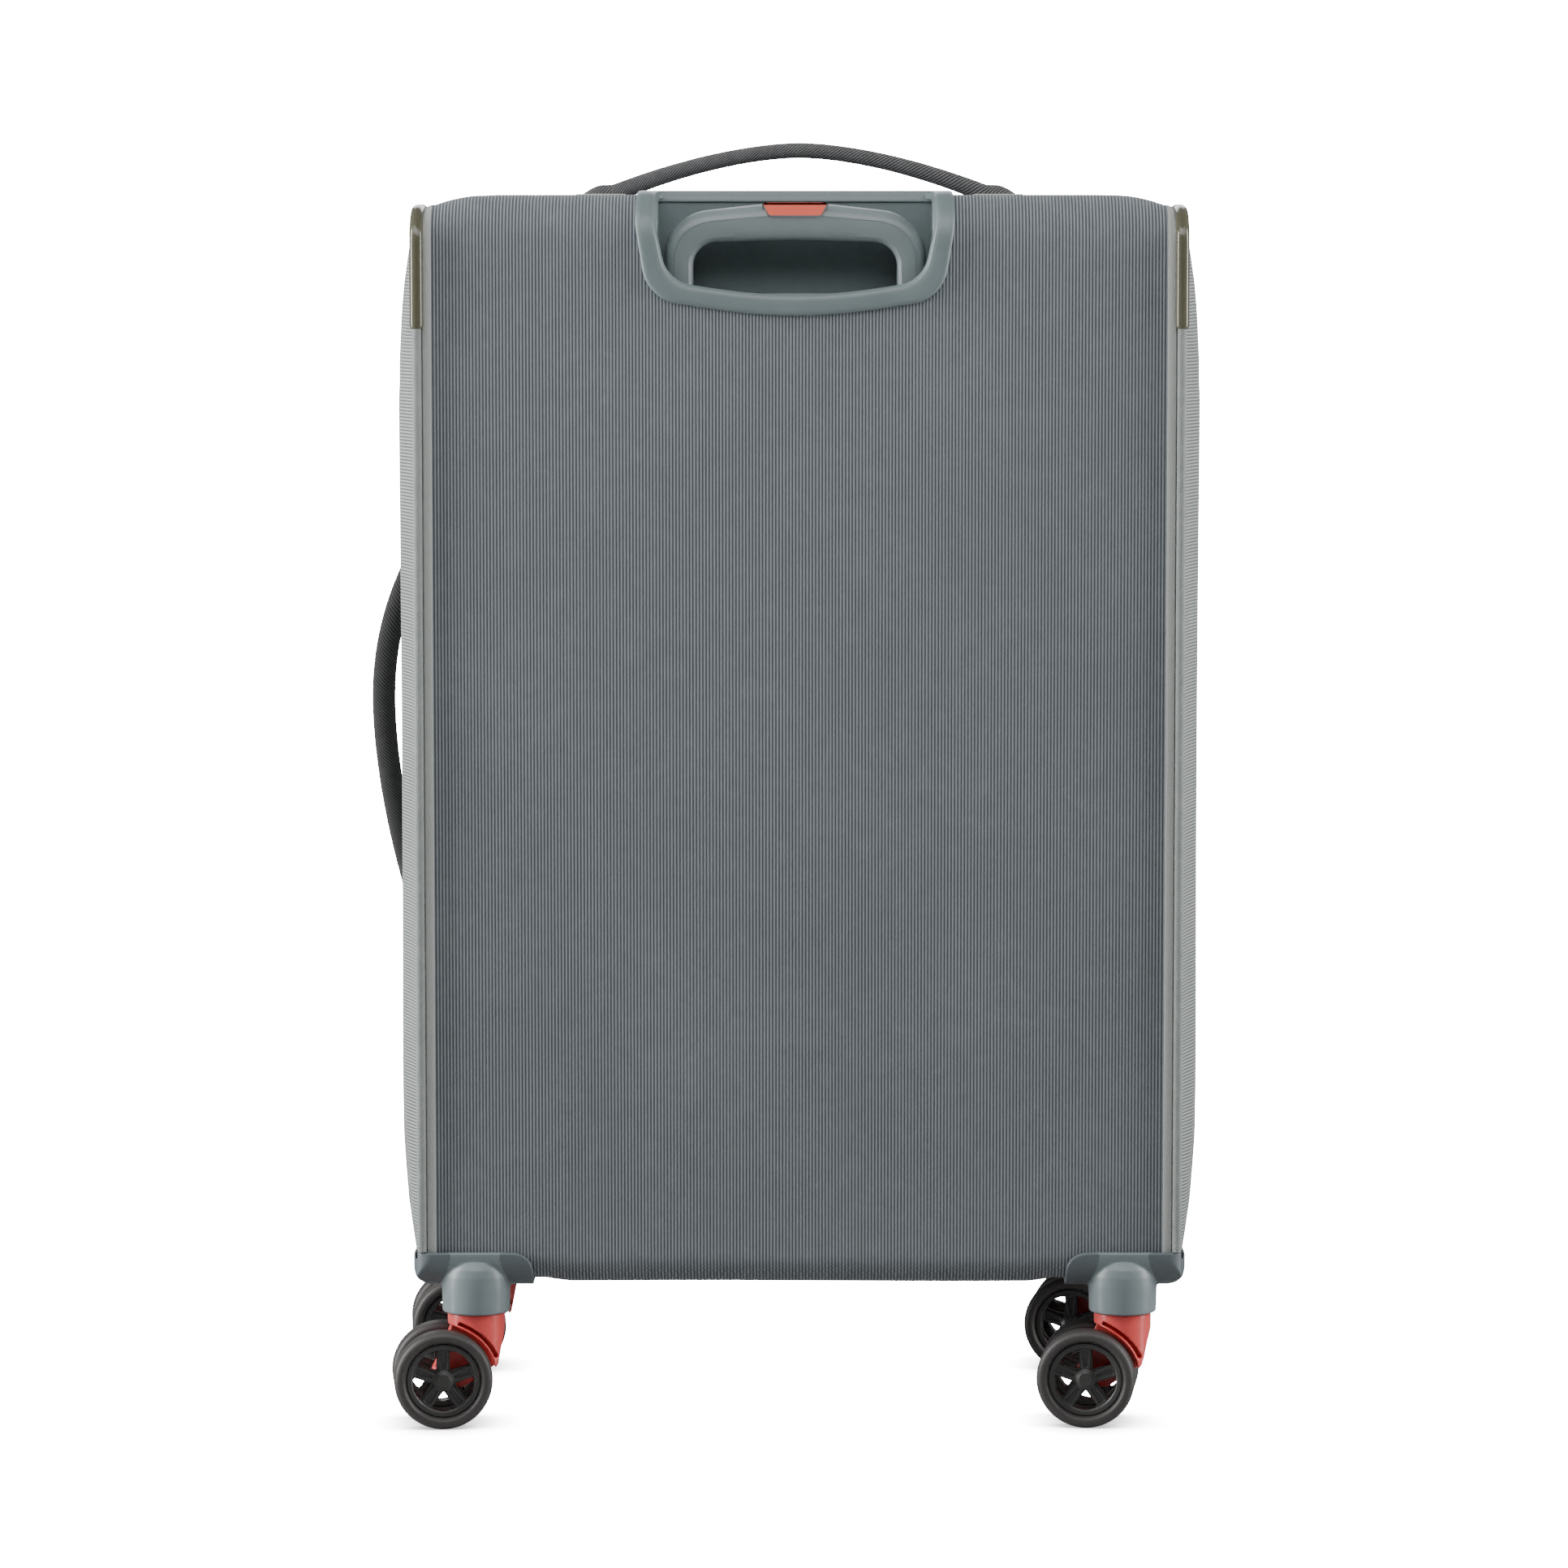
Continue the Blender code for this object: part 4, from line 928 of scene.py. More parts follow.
def housing(name, rear):
    y = middle(f"swivel_pin_{name}").y - BACK
    low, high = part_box(f"caster_housing_{name}")
    if rear:
        low_y, high_y = -PLATE - 0.01, y + 51 * MM
    else:
        low_y, high_y = low.y - BACK, high.y - BACK
    face = fillet([(PLATE_IN, PLATE_HIGH, 12 * MM), (PLATE_OUT, PLATE_HIGH, 2 * MM),
                   (PLATE_OUT, BOTTOM - PLATE, 13 * MM), (PLATE_IN, BOTTOM - PLATE, 0.6 * MM)], 6)
    plate = slab("housing_" + name, face, low_y, high_y)
    plan = fillet([(PLATE_IN - 0.01, -PLATE, 0), (PLATE_IN - 0.01, DEPTH, 0),
                   (PLATE_OUT, DEPTH, 0), (PLATE_OUT, -PLATE, 11 * MM)], 6)
    boolean(plate, "INTERSECT",
            corner_solid(PLATE, PLATE_OUT + 0.02, BOTTOM - PLATE, BOTTOM + 0.1),
            slab("plan", plan, BOTTOM - 0.02, BOTTOM + 0.05, "z"))
    floor, out = BOTTOM - 0.3 * MM, PLATE_OUT - WALL
    core = corner_solid(-0.3 * MM, out, floor, BOTTOM + 0.1)
    section = fillet([(0.1, floor, 0), (out, floor, 8.5 * MM), (out, BOTTOM + 0.1, 0),
                      (0.1, BOTTOM + 0.1, 0)], 6)
    boolean(core, "INTERSECT", slab("section", section, -0.05, DEPTH + 0.1))
    boolean(plate, "DIFFERENCE", core)
    rim, seat = DOME_R * 0.80, DOME_FOOT + 3 * MM
    dome = [(0, DOME_HIGH)] + [(DOME_R * share, DOME_HIGH - fall * MM) for share, fall in DOME]
    dome += [(DOME_R * 0.97, seat), (DOME_R * 0.965, DOME_FOOT), (rim, DOME_FOOT), (rim, seat),
             (0, seat)]
    boolean(plate, "UNION", round_at(dome, y, 64))
    bore, roof = 4.6 * MM, DOME_HIGH - 5 * MM
    boolean(plate, "DIFFERENCE", round_at([(0, 0.04), (bore, 0.04), (bore, roof), (0, roof)],
                                          y, 32))
    return moulding(plate, 0.65 * MM, 4)


# %% Four housings
for row in ("rear", "front"):
    right = housing(row + "_right", row == "rear")
    left = mirrored(right, "housing_" + row + "_left")
    for hand, obj in (("right", right), ("left", left)):
        dressed(obj, "plate", "case", "grey_plastic", f"caster_housing_{row}_{hand}", angle=80)
        # Faces within the dome's radius take the lighter dome finish: painted light on the one
        # moulding.
        obj.data.materials.append(SKIN["dome"])
        axis = middle(f"swivel_pin_{row}_{hand}")
        for polygon in obj.data.polygons:
            off = polygon.center - axis
            polygon.material_index = int(math.hypot(off.x, off.y) < 20.4 * MM)

# %% [markdown]
# ## The fork
# A round crown under the dome, a hood that follows the wheels, with a slot moulded along
# its edge, and a thin web between the wheels that carries the axle.

# %% Fork, modelled trailing towards -x
TRAIL = 20 * MM
FORK_TOP = DOME_FOOT - 0.3 * MM


def round_axle(radius, start, end, count):
    turns = spread(math.radians(start), math.radians(end), count)
    return [(-TRAIL + radius * math.cos(a), WHEEL_R + radius * math.sin(a)) for a in turns]


def here(obj):
    """Back from the case's place to the caster's own axis."""
    obj.location = -at(0, 0, 0)
    return placed(obj)


def fork_part(outline, half):
    return here(slab("part", outline, -half, half))


wide = 17.0 * MM
hood = fork_part([(wide, FORK_TOP), (wide - 0.6 * MM, FORK_TOP - 10 * MM),
                  (wide - 2.5 * MM, WHEEL_R + 19 * MM), (12.0 * MM, WHEEL_R + 7 * MM),
                  *round_axle(WHEEL_R + 2.2 * MM, 10, 78, 14),
                  (-wide, FORK_TOP - 6.5 * MM), (-wide, FORK_TOP)], wide)
crown = turned("crown", [(0, 0), (16.6 * MM, 0), (16.6 * MM, FORK_TOP), (0, FORK_TOP)], 64)
boolean(hood, "INTERSECT", crown)
web = fillet([(-13 * MM, FORK_TOP - 3 * MM, 0), (12 * MM, FORK_TOP - 3 * MM, 0),
              (11 * MM, WHEEL_R + 6 * MM, 6 * MM), (-8 * MM, WHEEL_R - 7 * MM, 8 * MM),
              (-TRAIL, WHEEL_R - 8 * MM, 8 * MM), (-TRAIL - 8 * MM, WHEEL_R, 7 * MM),
              (-TRAIL - 3 * MM, WHEEL_R + 9 * MM, 5 * MM)], 8)
boolean(hood, "UNION", fork_part(web, 5 * MM))
slot = round_axle(WHEEL_R + 3.4 * MM, 20, 74, 16) + round_axle(WHEEL_R + 5.6 * MM, 20, 74, 16)[::-1]
for low, high in ((-0.03, -7.5 * MM), (7.5 * MM, 0.03)):
    boolean(hood, "DIFFERENCE", here(slab("slot", slot, low, high)))
boolean(hood, "UNION", fork_part(round_axle(6.2 * MM, 0, 345, 23), 10.2 * MM))
boolean(hood, "DIFFERENCE", fork_part(round_axle(3.1 * MM, 0, 345, 23), 0.03))
moulding(hood, 0.55 * MM, 3)
print("fork", len(hood.data.polygons), "faces")

# %% [markdown]
# ## The wheels
# The tyre is spun from its section: a flat tread, soft shoulders, and a step down to the hub.
# The hub is a dished disc with five windows. Its spokes have a raised rib down each side with
# a shallow groove between them, and a flat cap covers the axle's end.

# %% Tyre and hub, round the axle
HUB_R = 21.4 * MM
HALF_TREAD = 7.5


def section(name, rows, steps):
    """A piece spun from rows of (from radius, mm further out, mm along the axle)."""
    return turned(name, [(base + out * MM, along * MM) for base, out, along in rows], steps)


def both_sides(rows):
    return rows + [(base, out, -along) for base, out, along in reversed(rows)]


inside = [(HUB_R, 0.2, 4.9), (HUB_R, 0.9, 5.7), (HUB_R, 1.3, 6.9), (HUB_R, 2.3, HALF_TREAD)]
tread = [(WHEEL_R, -3.0, HALF_TREAD), (WHEEL_R, -1.6, 7.0), (WHEEL_R, -0.5, 5.6), (WHEEL_R, 0, 4.2)]
tread = both_sides(tread)
tread.insert(len(tread) // 2, (WHEEL_R, 0, 0))
tyre = section("tyre", inside + tread + [(HUB_R, 2.3, -HALF_TREAD), (HUB_R, 1.3, -6.9),
                                         (HUB_R, 0.2, -4.9)], 72)
hub = section("hub", both_sides([(0, 2.9, 2.1), (HUB_R, -4.6, 2.1), (HUB_R, -3.6, 4.2),
                                 (HUB_R, -2.6, 4.9), (HUB_R, -0.5, 5.2), (HUB_R, 0, 4.6)]), 72)


def flat_slab(outline, low, high):
    return here(slab("shape", outline, low, high, "z"))


def swung(corners, degrees):
    """Corners (along a spoke, across it, radius) turned about the axle."""
    c, s = math.cos(math.radians(degrees)), math.sin(math.radians(degrees))
    return [(u * c - v * s, u * s + v * c, radius) for u, v, radius in corners]


def window_corner(radius, swing, fillet_radius):
    angle = math.radians(swing)
    return radius * math.cos(angle), radius * math.sin(angle), fillet_radius


SPOKES = 5
WINDOW_CORNERS = [window_corner(6.6 * MM, 0, 0.6 * MM),
                  window_corner(HUB_R - 3.6 * MM, -24, 1.4 * MM),
                  window_corner(HUB_R - 2.6 * MM, 0, 9 * MM),
                  window_corner(HUB_R - 3.6 * MM, 24, 1.4 * MM)]
for k in range(SPOKES):
    window = fillet(swung(WINDOW_CORNERS, 54 + 72 * k), 15)
    boolean(hub, "DIFFERENCE", flat_slab(window, -0.02, 0.02))
soften(hub, 0.4 * MM, 2, 50)


def spoke_shape(near, near_half, far, far_half, degrees):
    corners = [(near, -near_half, 0), (far, -far_half, 0), (far, far_half, 0), (near, near_half, 0)]
    return [corner[:2] for corner in swung(corners, degrees)]


raised = []
for k in range(SPOKES):
    turn = 90 + 72 * k
    rib = flat_slab(spoke_shape(4 * MM, 2.3 * MM, HUB_R - 3.4 * MM, 3.5 * MM, turn),
                    -4.1 * MM, 4.1 * MM)
    groove = spoke_shape(7 * MM, 0.9 * MM, HUB_R - 5 * MM, 1.9 * MM, turn)
    for low, high in ((-5 * MM, -3.0 * MM), (3.0 * MM, 5 * MM)):
        boolean(rib, "DIFFERENCE", flat_slab(groove, low, high))
    raised.append(soften(rib, 0.45 * MM, 2, 40))
cap_rows = both_sides([(0, 0, 4.6), (0, 0, 5.6), (0, 3.7, 5.6), (0, 4.3, 5.2), (0, 6.0, 4.3)])
axle_cap = section("axle_cap", cap_rows + [(0, 3.2, -4.6), (0, 3.2, 4.6)], 40)
hub = joined("hub", [hub, axle_cap, *raised])
print("hub", len(hub.data.polygons), "faces, tyre", len(tyre.data.polygons))

# %% Copies at the four corners


def set_at(obj, name, matrix):
    other = copied(obj, name)
    other.data.transform(matrix)
    return other


def turn(degrees, axis):
    return Matrix.Rotation(math.radians(degrees), 4, axis)


for name in PLACES:
    pin = middle(f"swivel_pin_{name}")
    axle = middle(f"axle_{name}")
    yaw = math.atan2(-(axle.y - pin.y), -(axle.x - pin.x))
    heading = Matrix.Rotation(yaw, 4, "Z")
    fork = set_at(hood, "swivel_fork_" + name, Matrix.Translation((pin.x, pin.y, 0)) @ heading)
    dressed(fork, "red", f"swivel_{name}", "red_fork", f"fork_{name}", angle=80)
    for hand, facing in (("outer", turn(90, "X")), ("inner", turn(-90, "X") @ turn(36, "Z"))):
        place = f"{name}_{hand}"
        seat = Matrix.Translation(middle(f"hub_{place}")) @ heading @ facing
        body = f"wheel_{place}"
        dressed(set_at(hub, f"wheel_hub_{place}", seat), "hub", body, "wheel_hub", f"hub_{place}",
                angle=30)
        dressed(set_at(tyre, f"wheel_tyre_{place}", seat), "tyre", body, "tyre", f"tyre_{place}",
                angle=50)
for obj in (hood, hub, tyre):
    bpy.data.objects.remove(obj)

# %% Finishes for the frame's own solids
CAD_SKINS = {"outer_tube": "tube", "middle_tube": "tube", "inner_tube": "tube", "axle": "steel",
             "swivel_pin": "steel", "tube_foot": "black", "zip_slider": "zip", "puller": "zip",
             "pocket_slider": "zip", "pocket_puller": "zip"}
for name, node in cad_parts.items():
    for start, skin in CAD_SKINS.items():
        if name.startswith(start):
            node.data.materials.clear()
            node.data.materials.append(SKIN[skin])

# %% [markdown]
# ## Side panels
# Each side is fabric over thin foam, stretched between the seams, so it swells like a shallow
# cushion. It starts as rings of its own outline, is remeshed evenly, and is then inflated by a
# cloth simulation with its seam held still. The swelling is capped, so it stays near where the
# frame says it is. The ribs lie flat here, because the same cloth is turned a quarter; its cord
# and ground are painted lighter than the back's, as painted light on the sides.

# %% The recipe for padded fabric
FRAMES = 16


def inflated(obj, pressure, most, held):
    """Remeshes a closed shape and lets cloth swell it; held is true of points sewn down."""
    modify(obj, "REMESH", mode="VOXEL", voxel_size=5 * MM, use_smooth_shade=True)
    rest = [vertex.co.copy() for vertex in obj.data.vertices]
    group = obj.vertex_groups.new(name="sewn")
    group.add([k for k, place in enumerate(rest) if held(place)], 1.0, "REPLACE")
    cloth = obj.modifiers.new("cloth", "CLOTH")
    cloth.settings.vertex_group_mass = "sewn"
    cloth.settings.use_pressure = True
    cloth.settings.uniform_pressure_force = pressure
    cloth.settings.effector_weights.gravity = 0
    cloth.settings.quality = 4
    cloth.point_cache.frame_start = 1
    cloth.point_cache.frame_end = FRAMES
    for frame_number in range(1, FRAMES + 1):
        bpy.context.scene.frame_set(frame_number)
    only(obj)
    bpy.ops.object.modifier_apply(modifier="cloth")
    bpy.context.scene.frame_set(1)
    for vertex, start in zip(obj.data.vertices, rest):
        move = vertex.co - start
        if move.length > most:
            vertex.co = start + move.normalized() * most
    modify(obj, "SMOOTH", factor=0.5, iterations=3)
    obj.vertex_groups.clear()
    grown = max((v.co - s).length for v, s in zip(obj.data.vertices, rest))
    print(obj.name, "swelled by up to", round(grown / MM, 1), "mm")
    return modify(obj, "SUBSURF", levels=1, render_levels=1)


def side_outline(inset, front_inset):
    """The side's outline moved in by inset, and by front_inset from the zip line."""
    low, high = BOTTOM + 0.4 * MM + inset, TOP - 0.4 * MM - inset
    rear, front = 0.4 * MM + inset, DEPTH - 0.4 * MM - front_inset
    return evenly(fillet([(rear, low, FOOT_TURN - inset * 0.1), (front, low, 4 * MM),
                          (front, high, 4 * MM), (rear, high, TURN - inset * 0.2)], 6), 200)


# In mm: in from the seams, in from the zip line, and out from the seam; the first ring is the
# panel's inner face. The front climbs slowly, so that the lid can open flat against this side.
SWELL = ((60, 60, 0.6), (0, 0, 0.6), (0, 0, 1.4), (2, 5, 4.8), (7, 16, 8.2), (18, 48, 11.2),
         (38, 80, 13.6), (62, 98, 14.4), (92, 108, 14.6))


# The sides follow the droop of the top's corners.
rows = [[at(SEAM + rise * MM, y, z - droop(SEAM) * near_top(z) ** 1.5)
         for y, z in side_outline(inset * MM, front * MM)] for inset, front, rise in SWELL]
side = wrapped("side_fabric_right", rows, closed=True, ends=True)
side = inflated(side, 2.5, 4 * MM, lambda p: p.x - MID < SEAM + 2.4 * MM or p.y > ZIP - 58 * MM)
other_side = mirrored(side, "side_fabric_left")
for hand, obj in (("right", side), ("left", other_side)):
    dressed(obj, "side_fabric_painted_lit", "case", "ribbed_fabric", f"side_panel_{hand}", angle=80)

# %% [markdown]
# ## Piping, hems and corner guards
# A cord wrapped in bias-cut cloth covers the seam between the wrap and each side, with a hem
# sewn down beside it. Round each rear top corner the piping runs inside a hard glossy guard. All
# follow the strip's own path, so they need only a distance across it.

# %% Along the seam
PIPE_X = middle("piping_right").x - MID
PIPE_R = 2.6 * MM


def away_from(x, s, proud):
    """The point over the strip, and the way that the strip faces there."""
    centre = on_strip(x, s, proud)
    return centre, (on_strip(x, s, proud + 1 * MM) - centre).normalized()


def seam_tube(name, x, low, high, proud, steps):
    rows = []
    for s in spread(low, high, steps):
        centre, normal = away_from(x, s, proud * MM)
        rows.append(ring(centre, Vector((1, 0, 0)), normal, PIPE_R, PIPE_R, 14))
    return wrapped(name, rows, closed=True, ends=True)


# The hem's section, in mm: in from the seam, and proud of the fabric.
HEM = ((4.1, 0.1), (3.9, 0.62), (3.0, 0.85), (1.0, 0.85), (-0.6, 0.6), (-1.4, -1.2))
GUARD_LOW = along_of(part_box("piping_guard_right")[0].z)
GUARD_END = UP + ARC + 0.062 - TURN
for hand, sign in (("right", 1), ("left", -1)):
    x = sign * PIPE_X
    pipe = seam_tube("back", x, along_of(PLATE_HIGH) + 0.4 * MM, GUARD_LOW + 6 * MM, 1.35, 200)
    top_pipe = seam_tube("top", x, GUARD_END - 6 * MM, END - 1 * MM, 0.6, 60)
    floor_pipe = seam_tube("floor", x - sign * MM, START + 70 * MM, -FOOT_ARC - 52 * MM, 0.2, 40)
    pipe = joined(f"piping_cord_{hand}", [pipe, top_pipe, floor_pipe])
    dressed(pipe, "piping", "case", "ribbed_fabric", f"piping_{hand}", angle=60)
    rows = []
    for s in spread(GUARD_LOW, GUARD_END, 90):
        end = min(1, (s - GUARD_LOW) / (3.0 * MM), (GUARD_END - s) / (8 * MM))
        size = math.sqrt(max(0.0, 1 - (1 - max(0.02, end)) ** 2))
        centre, normal = away_from(sign * (PIPE_X + 0.1 * MM), s, 0.9 * MM)
        rows.append(ring(centre, Vector((1, 0, 0)), normal, 3.9 * MM * size, 3.7 * MM * size, 24))
    guard = wrapped(f"corner_guard_{hand}", rows, closed=True, ends=True)
    dressed(guard, "guard", "case", "piping_guard", f"piping_guard_{hand}", angle=60)
    rows = [[on_strip(sign * (SEAM - across * MM), s, proud * MM) for across, proud in HEM]
            for s in spread(START + 1 * MM, END - 1 * MM, 220)]
    hem = facing_camera(wrapped(f"seam_hem_{hand}", rows))
    dressed(hem, "hem", "case", "ribbed_fabric", angle=50)

# %% Stitches along the hem
STITCH, STITCH_PITCH = 2.3 * MM, 3.4 * MM


def clear_gaps():
    """Deletes the faces between stitches, which are shorter than a stitch."""
    bpy.ops.mesh.select_all(action="DESELECT")
    bpy.ops.object.mode_set(mode="OBJECT")
    mesh = bpy.context.object.data
    for polygon in mesh.polygons:
        longest = max((mesh.vertices[v].co - mesh.vertices[w].co).length
                      for v, w in polygon.edge_keys)
        polygon.select = 0.9 * MM < longest < 1.6 * MM
    bpy.ops.object.mode_set(mode="EDIT")
    bpy.ops.mesh.delete(type="FACE")


for hand, sign in (("left", -1), ("right", 1)):
    rows = []
    for k in range(int((END - START - 0.02) / STITCH_PITCH)):
        s = START + 0.01 + k * STITCH_PITCH
        normal = (on_strip(0, s, 1.0) - on_strip(0, s, 0.0)).normalized() * 0.35 * MM
        half = Vector((0.28 * MM, 0, 0))
        for end in (s, s + STITCH):
            middle_point = on_strip(sign * (SEAM - 2.9 * MM), end, 0.9 * MM)
            rows.append([middle_point - half, middle_point + normal, middle_point + half])
    strip = editing(wrapped(f"hem_stitch_{hand}", rows), clear_gaps)
    dressed(strip, "thread", "case", "ribbed_fabric", angle=80)

# %% [markdown]
# ## Carry handles
# A carry handle is a sleeve of bias-cut cloth, sewn round a soft cord, arched because both ends
# are stitched down closer than its length. The sleeve's weave runs at a slant, from its own UV
# map, and each end flattens to a tongue that is bar-tacked to the case.

# %% Top handle
top_low, top_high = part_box("top_carry_handle")
TOP_HALF = (top_high.x - top_low.x) / 2
TOP_Y = middle("top_carry_handle").y - BACK


def squarish(value):
    """A sine or cosine pushed outwards, so that a round section grows fuller corners."""
    return math.copysign(abs(value) ** 0.85, value)


def sleeve(name, stations, proud):
    """Rows round each station: (centre, half thickness, half width); it lies across y."""
    rows = []
    for centre, thick, half in stations:
        rows.append([centre + Vector((0, half * squarish(math.cos(t)), 0))
                     + proud * (thick * squarish(math.sin(t)))
                     for t in spread(0, 2 * math.pi, 20)[:-1]])
    return wrapped(name, rows, closed=True, ends=True)


stations = []
for x in spread(-TOP_HALF, TOP_HALF, 96):
    share = abs(x) / TOP_HALF
    tongue = min(1, max(0, (1 - share) * 9))
    thick = 1.2 * MM + (3.3 * MM + 1.6 * MM * share ** 2) * math.sin(tongue * math.pi / 2)
    upper = TOP + 31.0 * MM * (1 - (share / 0.985) ** 1.7) if share < 0.985 else TOP
    z = max(upper - thick, TOP + thick * 0.4 - 1.5 * MM)
    stations.append((at(x, TOP_Y, z), thick, 7.5 * MM - 2.4 * MM * tongue))
handle = sleeve("top_handle_sleeve", stations, Vector((0, 0, 1)))
dressed(handle, "handle", "top_handle", "handle_webbing", "top_carry_handle", angle=70)

# %% Side handle
side_low, side_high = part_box("side_carry_handle")
SIDE_Y = middle("side_carry_handle").y - BACK
PEAK = BOTTOM + 0.329
stations = []
face = SEAM + 15.4 * MM
for z in spread(side_low.z, side_high.z, 96):
    end = side_low.z if z < PEAK else side_high.z
    share = (z - PEAK) / (end - PEAK)
    tongue = min(1, max(0, (1 - share) * 9))
    thick = 1.4 * MM + 5.4 * MM * math.sin(tongue * math.pi / 2)
    power = 1.75 if z < PEAK else 2.1
    outer_edge = face + 22.6 * MM * (1 - (share / 0.97) ** power) if share < 0.97 else face
    x = max(outer_edge - thick, face + 2.2 * MM - thick * 0.5)
    stations.append((at(-x, SIDE_Y, z), thick, 9 * MM - 2.6 * MM * tongue))
handle = sleeve("side_handle_sleeve", stations, Vector((-1, 0, 0)))
dressed(handle, "side_handle", "side_handle", "handle_webbing", "side_carry_handle", angle=70)

# %% Patches under the top handle's ends
# In the patch's height: share of its full size, and mm above the top.
PATCH = ((1.0, -0.6), (1.0, 0.5), (0.94, 1.2))
for hand, sign in (("right", 1), ("left", -1)):
    centre = at(sign * (TOP_HALF - 12 * MM), TOP_Y, TOP)
    rows = []
    for share, high in PATCH:
        long, wide = 15 * MM * share, 13 * MM * share
        rows.append([centre + Vector((u, v, high * MM))
                     for u, v in rounded(-long, -wide, long, wide, 4 * MM * share + 1e-5, 15)])
    patch = wrapped(f"top_handle_patch_{hand}", rows, closed=True, ends=True)
    dressed(patch, "hem", "case", "handle_webbing", angle=40)

# %% [markdown]
# ## The lid
# The lid is a shallow tray of the same ribbed cloth: a front panel, and a gusset round its four
# sides, joined by piping. It is a grid of rings from the zip line outwards, so the gusset is
# flat, the edge turns softly and the front panel swells a little over its padding.

# %% Lid shell
lid_low, lid_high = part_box("lid_shell")
pocket_low, pocket_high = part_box("front_pocket")
LID_HALF = (lid_high.x - lid_low.x) / 2
LID_BACK = lid_low.y - BACK
LID_FRONT = lid_high.y - BACK


def lid_outline(inset, count=260):
    half = LID_HALF - inset
    return evenly(rounded(-half, lid_low.z + inset, half, lid_high.z - inset,
                          max(4 * MM, 16 * MM - inset)), count)


gusset = spread(LID_BACK + 0.2 * MM, LID_FRONT - 9 * MM, 8)
rings = [(0.4 + 0.35 * math.sin(k * 1.1), y) for k, y in enumerate(gusset)]
# Outside over the edge and the front panel, then back inside it. In mm: in from the lid's
# outline, and in front of the frame's own lid.
FRONT_RINGS = ((0.5, -5), (1.4, -2.2), (3.2, -0.6), (6, 0), (14, 0.2), (40, 0.2), (100, 0.3),
               (180, 0.3), (206, 0.3), (205, -3.6), (180, -3.6), (100, -3.6), (14, -3.6),
               (4.6, -7), (4.2, -20))
rings += [(inset, LID_FRONT + out * MM) for inset, out in FRONT_RINGS]
rings += [(4.2, LID_BACK + 1.2 * MM), (3.4, LID_BACK + 0.2 * MM), rings[0]]
lid = wrapped("lid_fabric", [[drooped(x, y, z) for x, z in lid_outline(inset * MM)]
                             for inset, y in rings], closed=True)
dressed(lid, "back_fabric", "lid", "ribbed_fabric", "lid_shell", angle=50)
lid.data.materials.append(SKIN["side_fabric_painted_lit"])
lid.data.materials.append(SKIN["lining"])
WALL_IN = 3.8 * MM
for polygon in lid.data.polygons:
    centre = polygon.center
    inside = (abs(centre.x - MID) < LID_HALF - WALL_IN
              and lid_low.z + WALL_IN < centre.z < lid_high.z - WALL_IN)
    if inside and centre.y - BACK < LID_FRONT - 2 * MM:
        polygon.material_index = 2
    # Faces that look left or right take the lighter side cloth: painted light, as on the side
    # panels.
    elif abs(polygon.normal.x) > 0.7:
        polygon.material_index = 1

# %% Lid piping
rows = []
outline = lid_outline(1.0 * MM, 400)
for k, (x, z) in enumerate(outline):
    before, after = outline[k - 1], outline[(k + 1) % len(outline)]
    tangent = Vector((after[0] - before[0], 0, after[1] - before[1])).normalized()
    rows.append(ring(drooped(x, LID_FRONT - 1.2 * MM, z), tangent.cross(Vector((0, 1, 0))),
                     Vector((0, 1, 0)), 2.3 * MM, 2.3 * MM, 12))
lid_pipe = wrapped("lid_piping", rows + rows[:1], closed=True)
dressed(lid_pipe, "piping", "lid", "ribbed_fabric", angle=60)

# %% [markdown]
# ## The front pocket
# A flat pocket is sewn on the front panel: padded cloth, inflated a little between its seams,
# with a zip across its top and a narrow welt under the teeth.

# %% Pocket pad
pocket_half = (pocket_high.x - pocket_low.x) / 2
pocket_mid = middle("front_pocket").x - MID


def pocket_outline(inset):
    left, right = pocket_mid - pocket_half + inset, pocket_mid + pocket_half - inset
    return evenly(rounded(left, pocket_low.z + inset, right, pocket_high.z - inset,
                          max(3 * MM, 14 * MM - inset)), 200)


# In mm: in from the pocket's seam, and out from the lid.
PAD = ((60, 0.6), (0.8, 0.6), (0.3, 1.6), (0.6, 5.0), (3, 7.8), (9, 9.4), (26, 10.2),
       (60, 10.8), (120, 11.2), (186, 11.4))
pocket_back = pocket_low.y - BACK
rows = [[at(x, pocket_back + rise * MM, z) for x, z in pocket_outline(inset * MM)]
        for inset, rise in PAD]
pocket = wrapped("pocket_fabric", rows, closed=True, ends=True)
pocket = inflated(pocket, 2.0, 3 * MM, lambda p: p.y - BACK < pocket_back + 2.6 * MM)
dressed(pocket, "back_fabric", "lid", "ribbed_fabric", "front_pocket", angle=80)

# %% [markdown]
# ## Zips
# Each zip is a tape with a chain of moulded teeth along its middle. The tooth is one small
# tapered block; hundreds are set along the path as one mesh. The sliders and pullers are the
# frame's own, because they move.

# %% Teeth along a path


TOOTH = ((-0.42, -0.5), (0.42, -0.5), (0.30, 0.62), (-0.30, 0.62))
SIDES = ((0, 3, 2, 1), (4, 5, 6, 7), (0, 1, 5, 4), (1, 2, 6, 5), (2, 3, 7, 6), (3, 0, 4, 7))


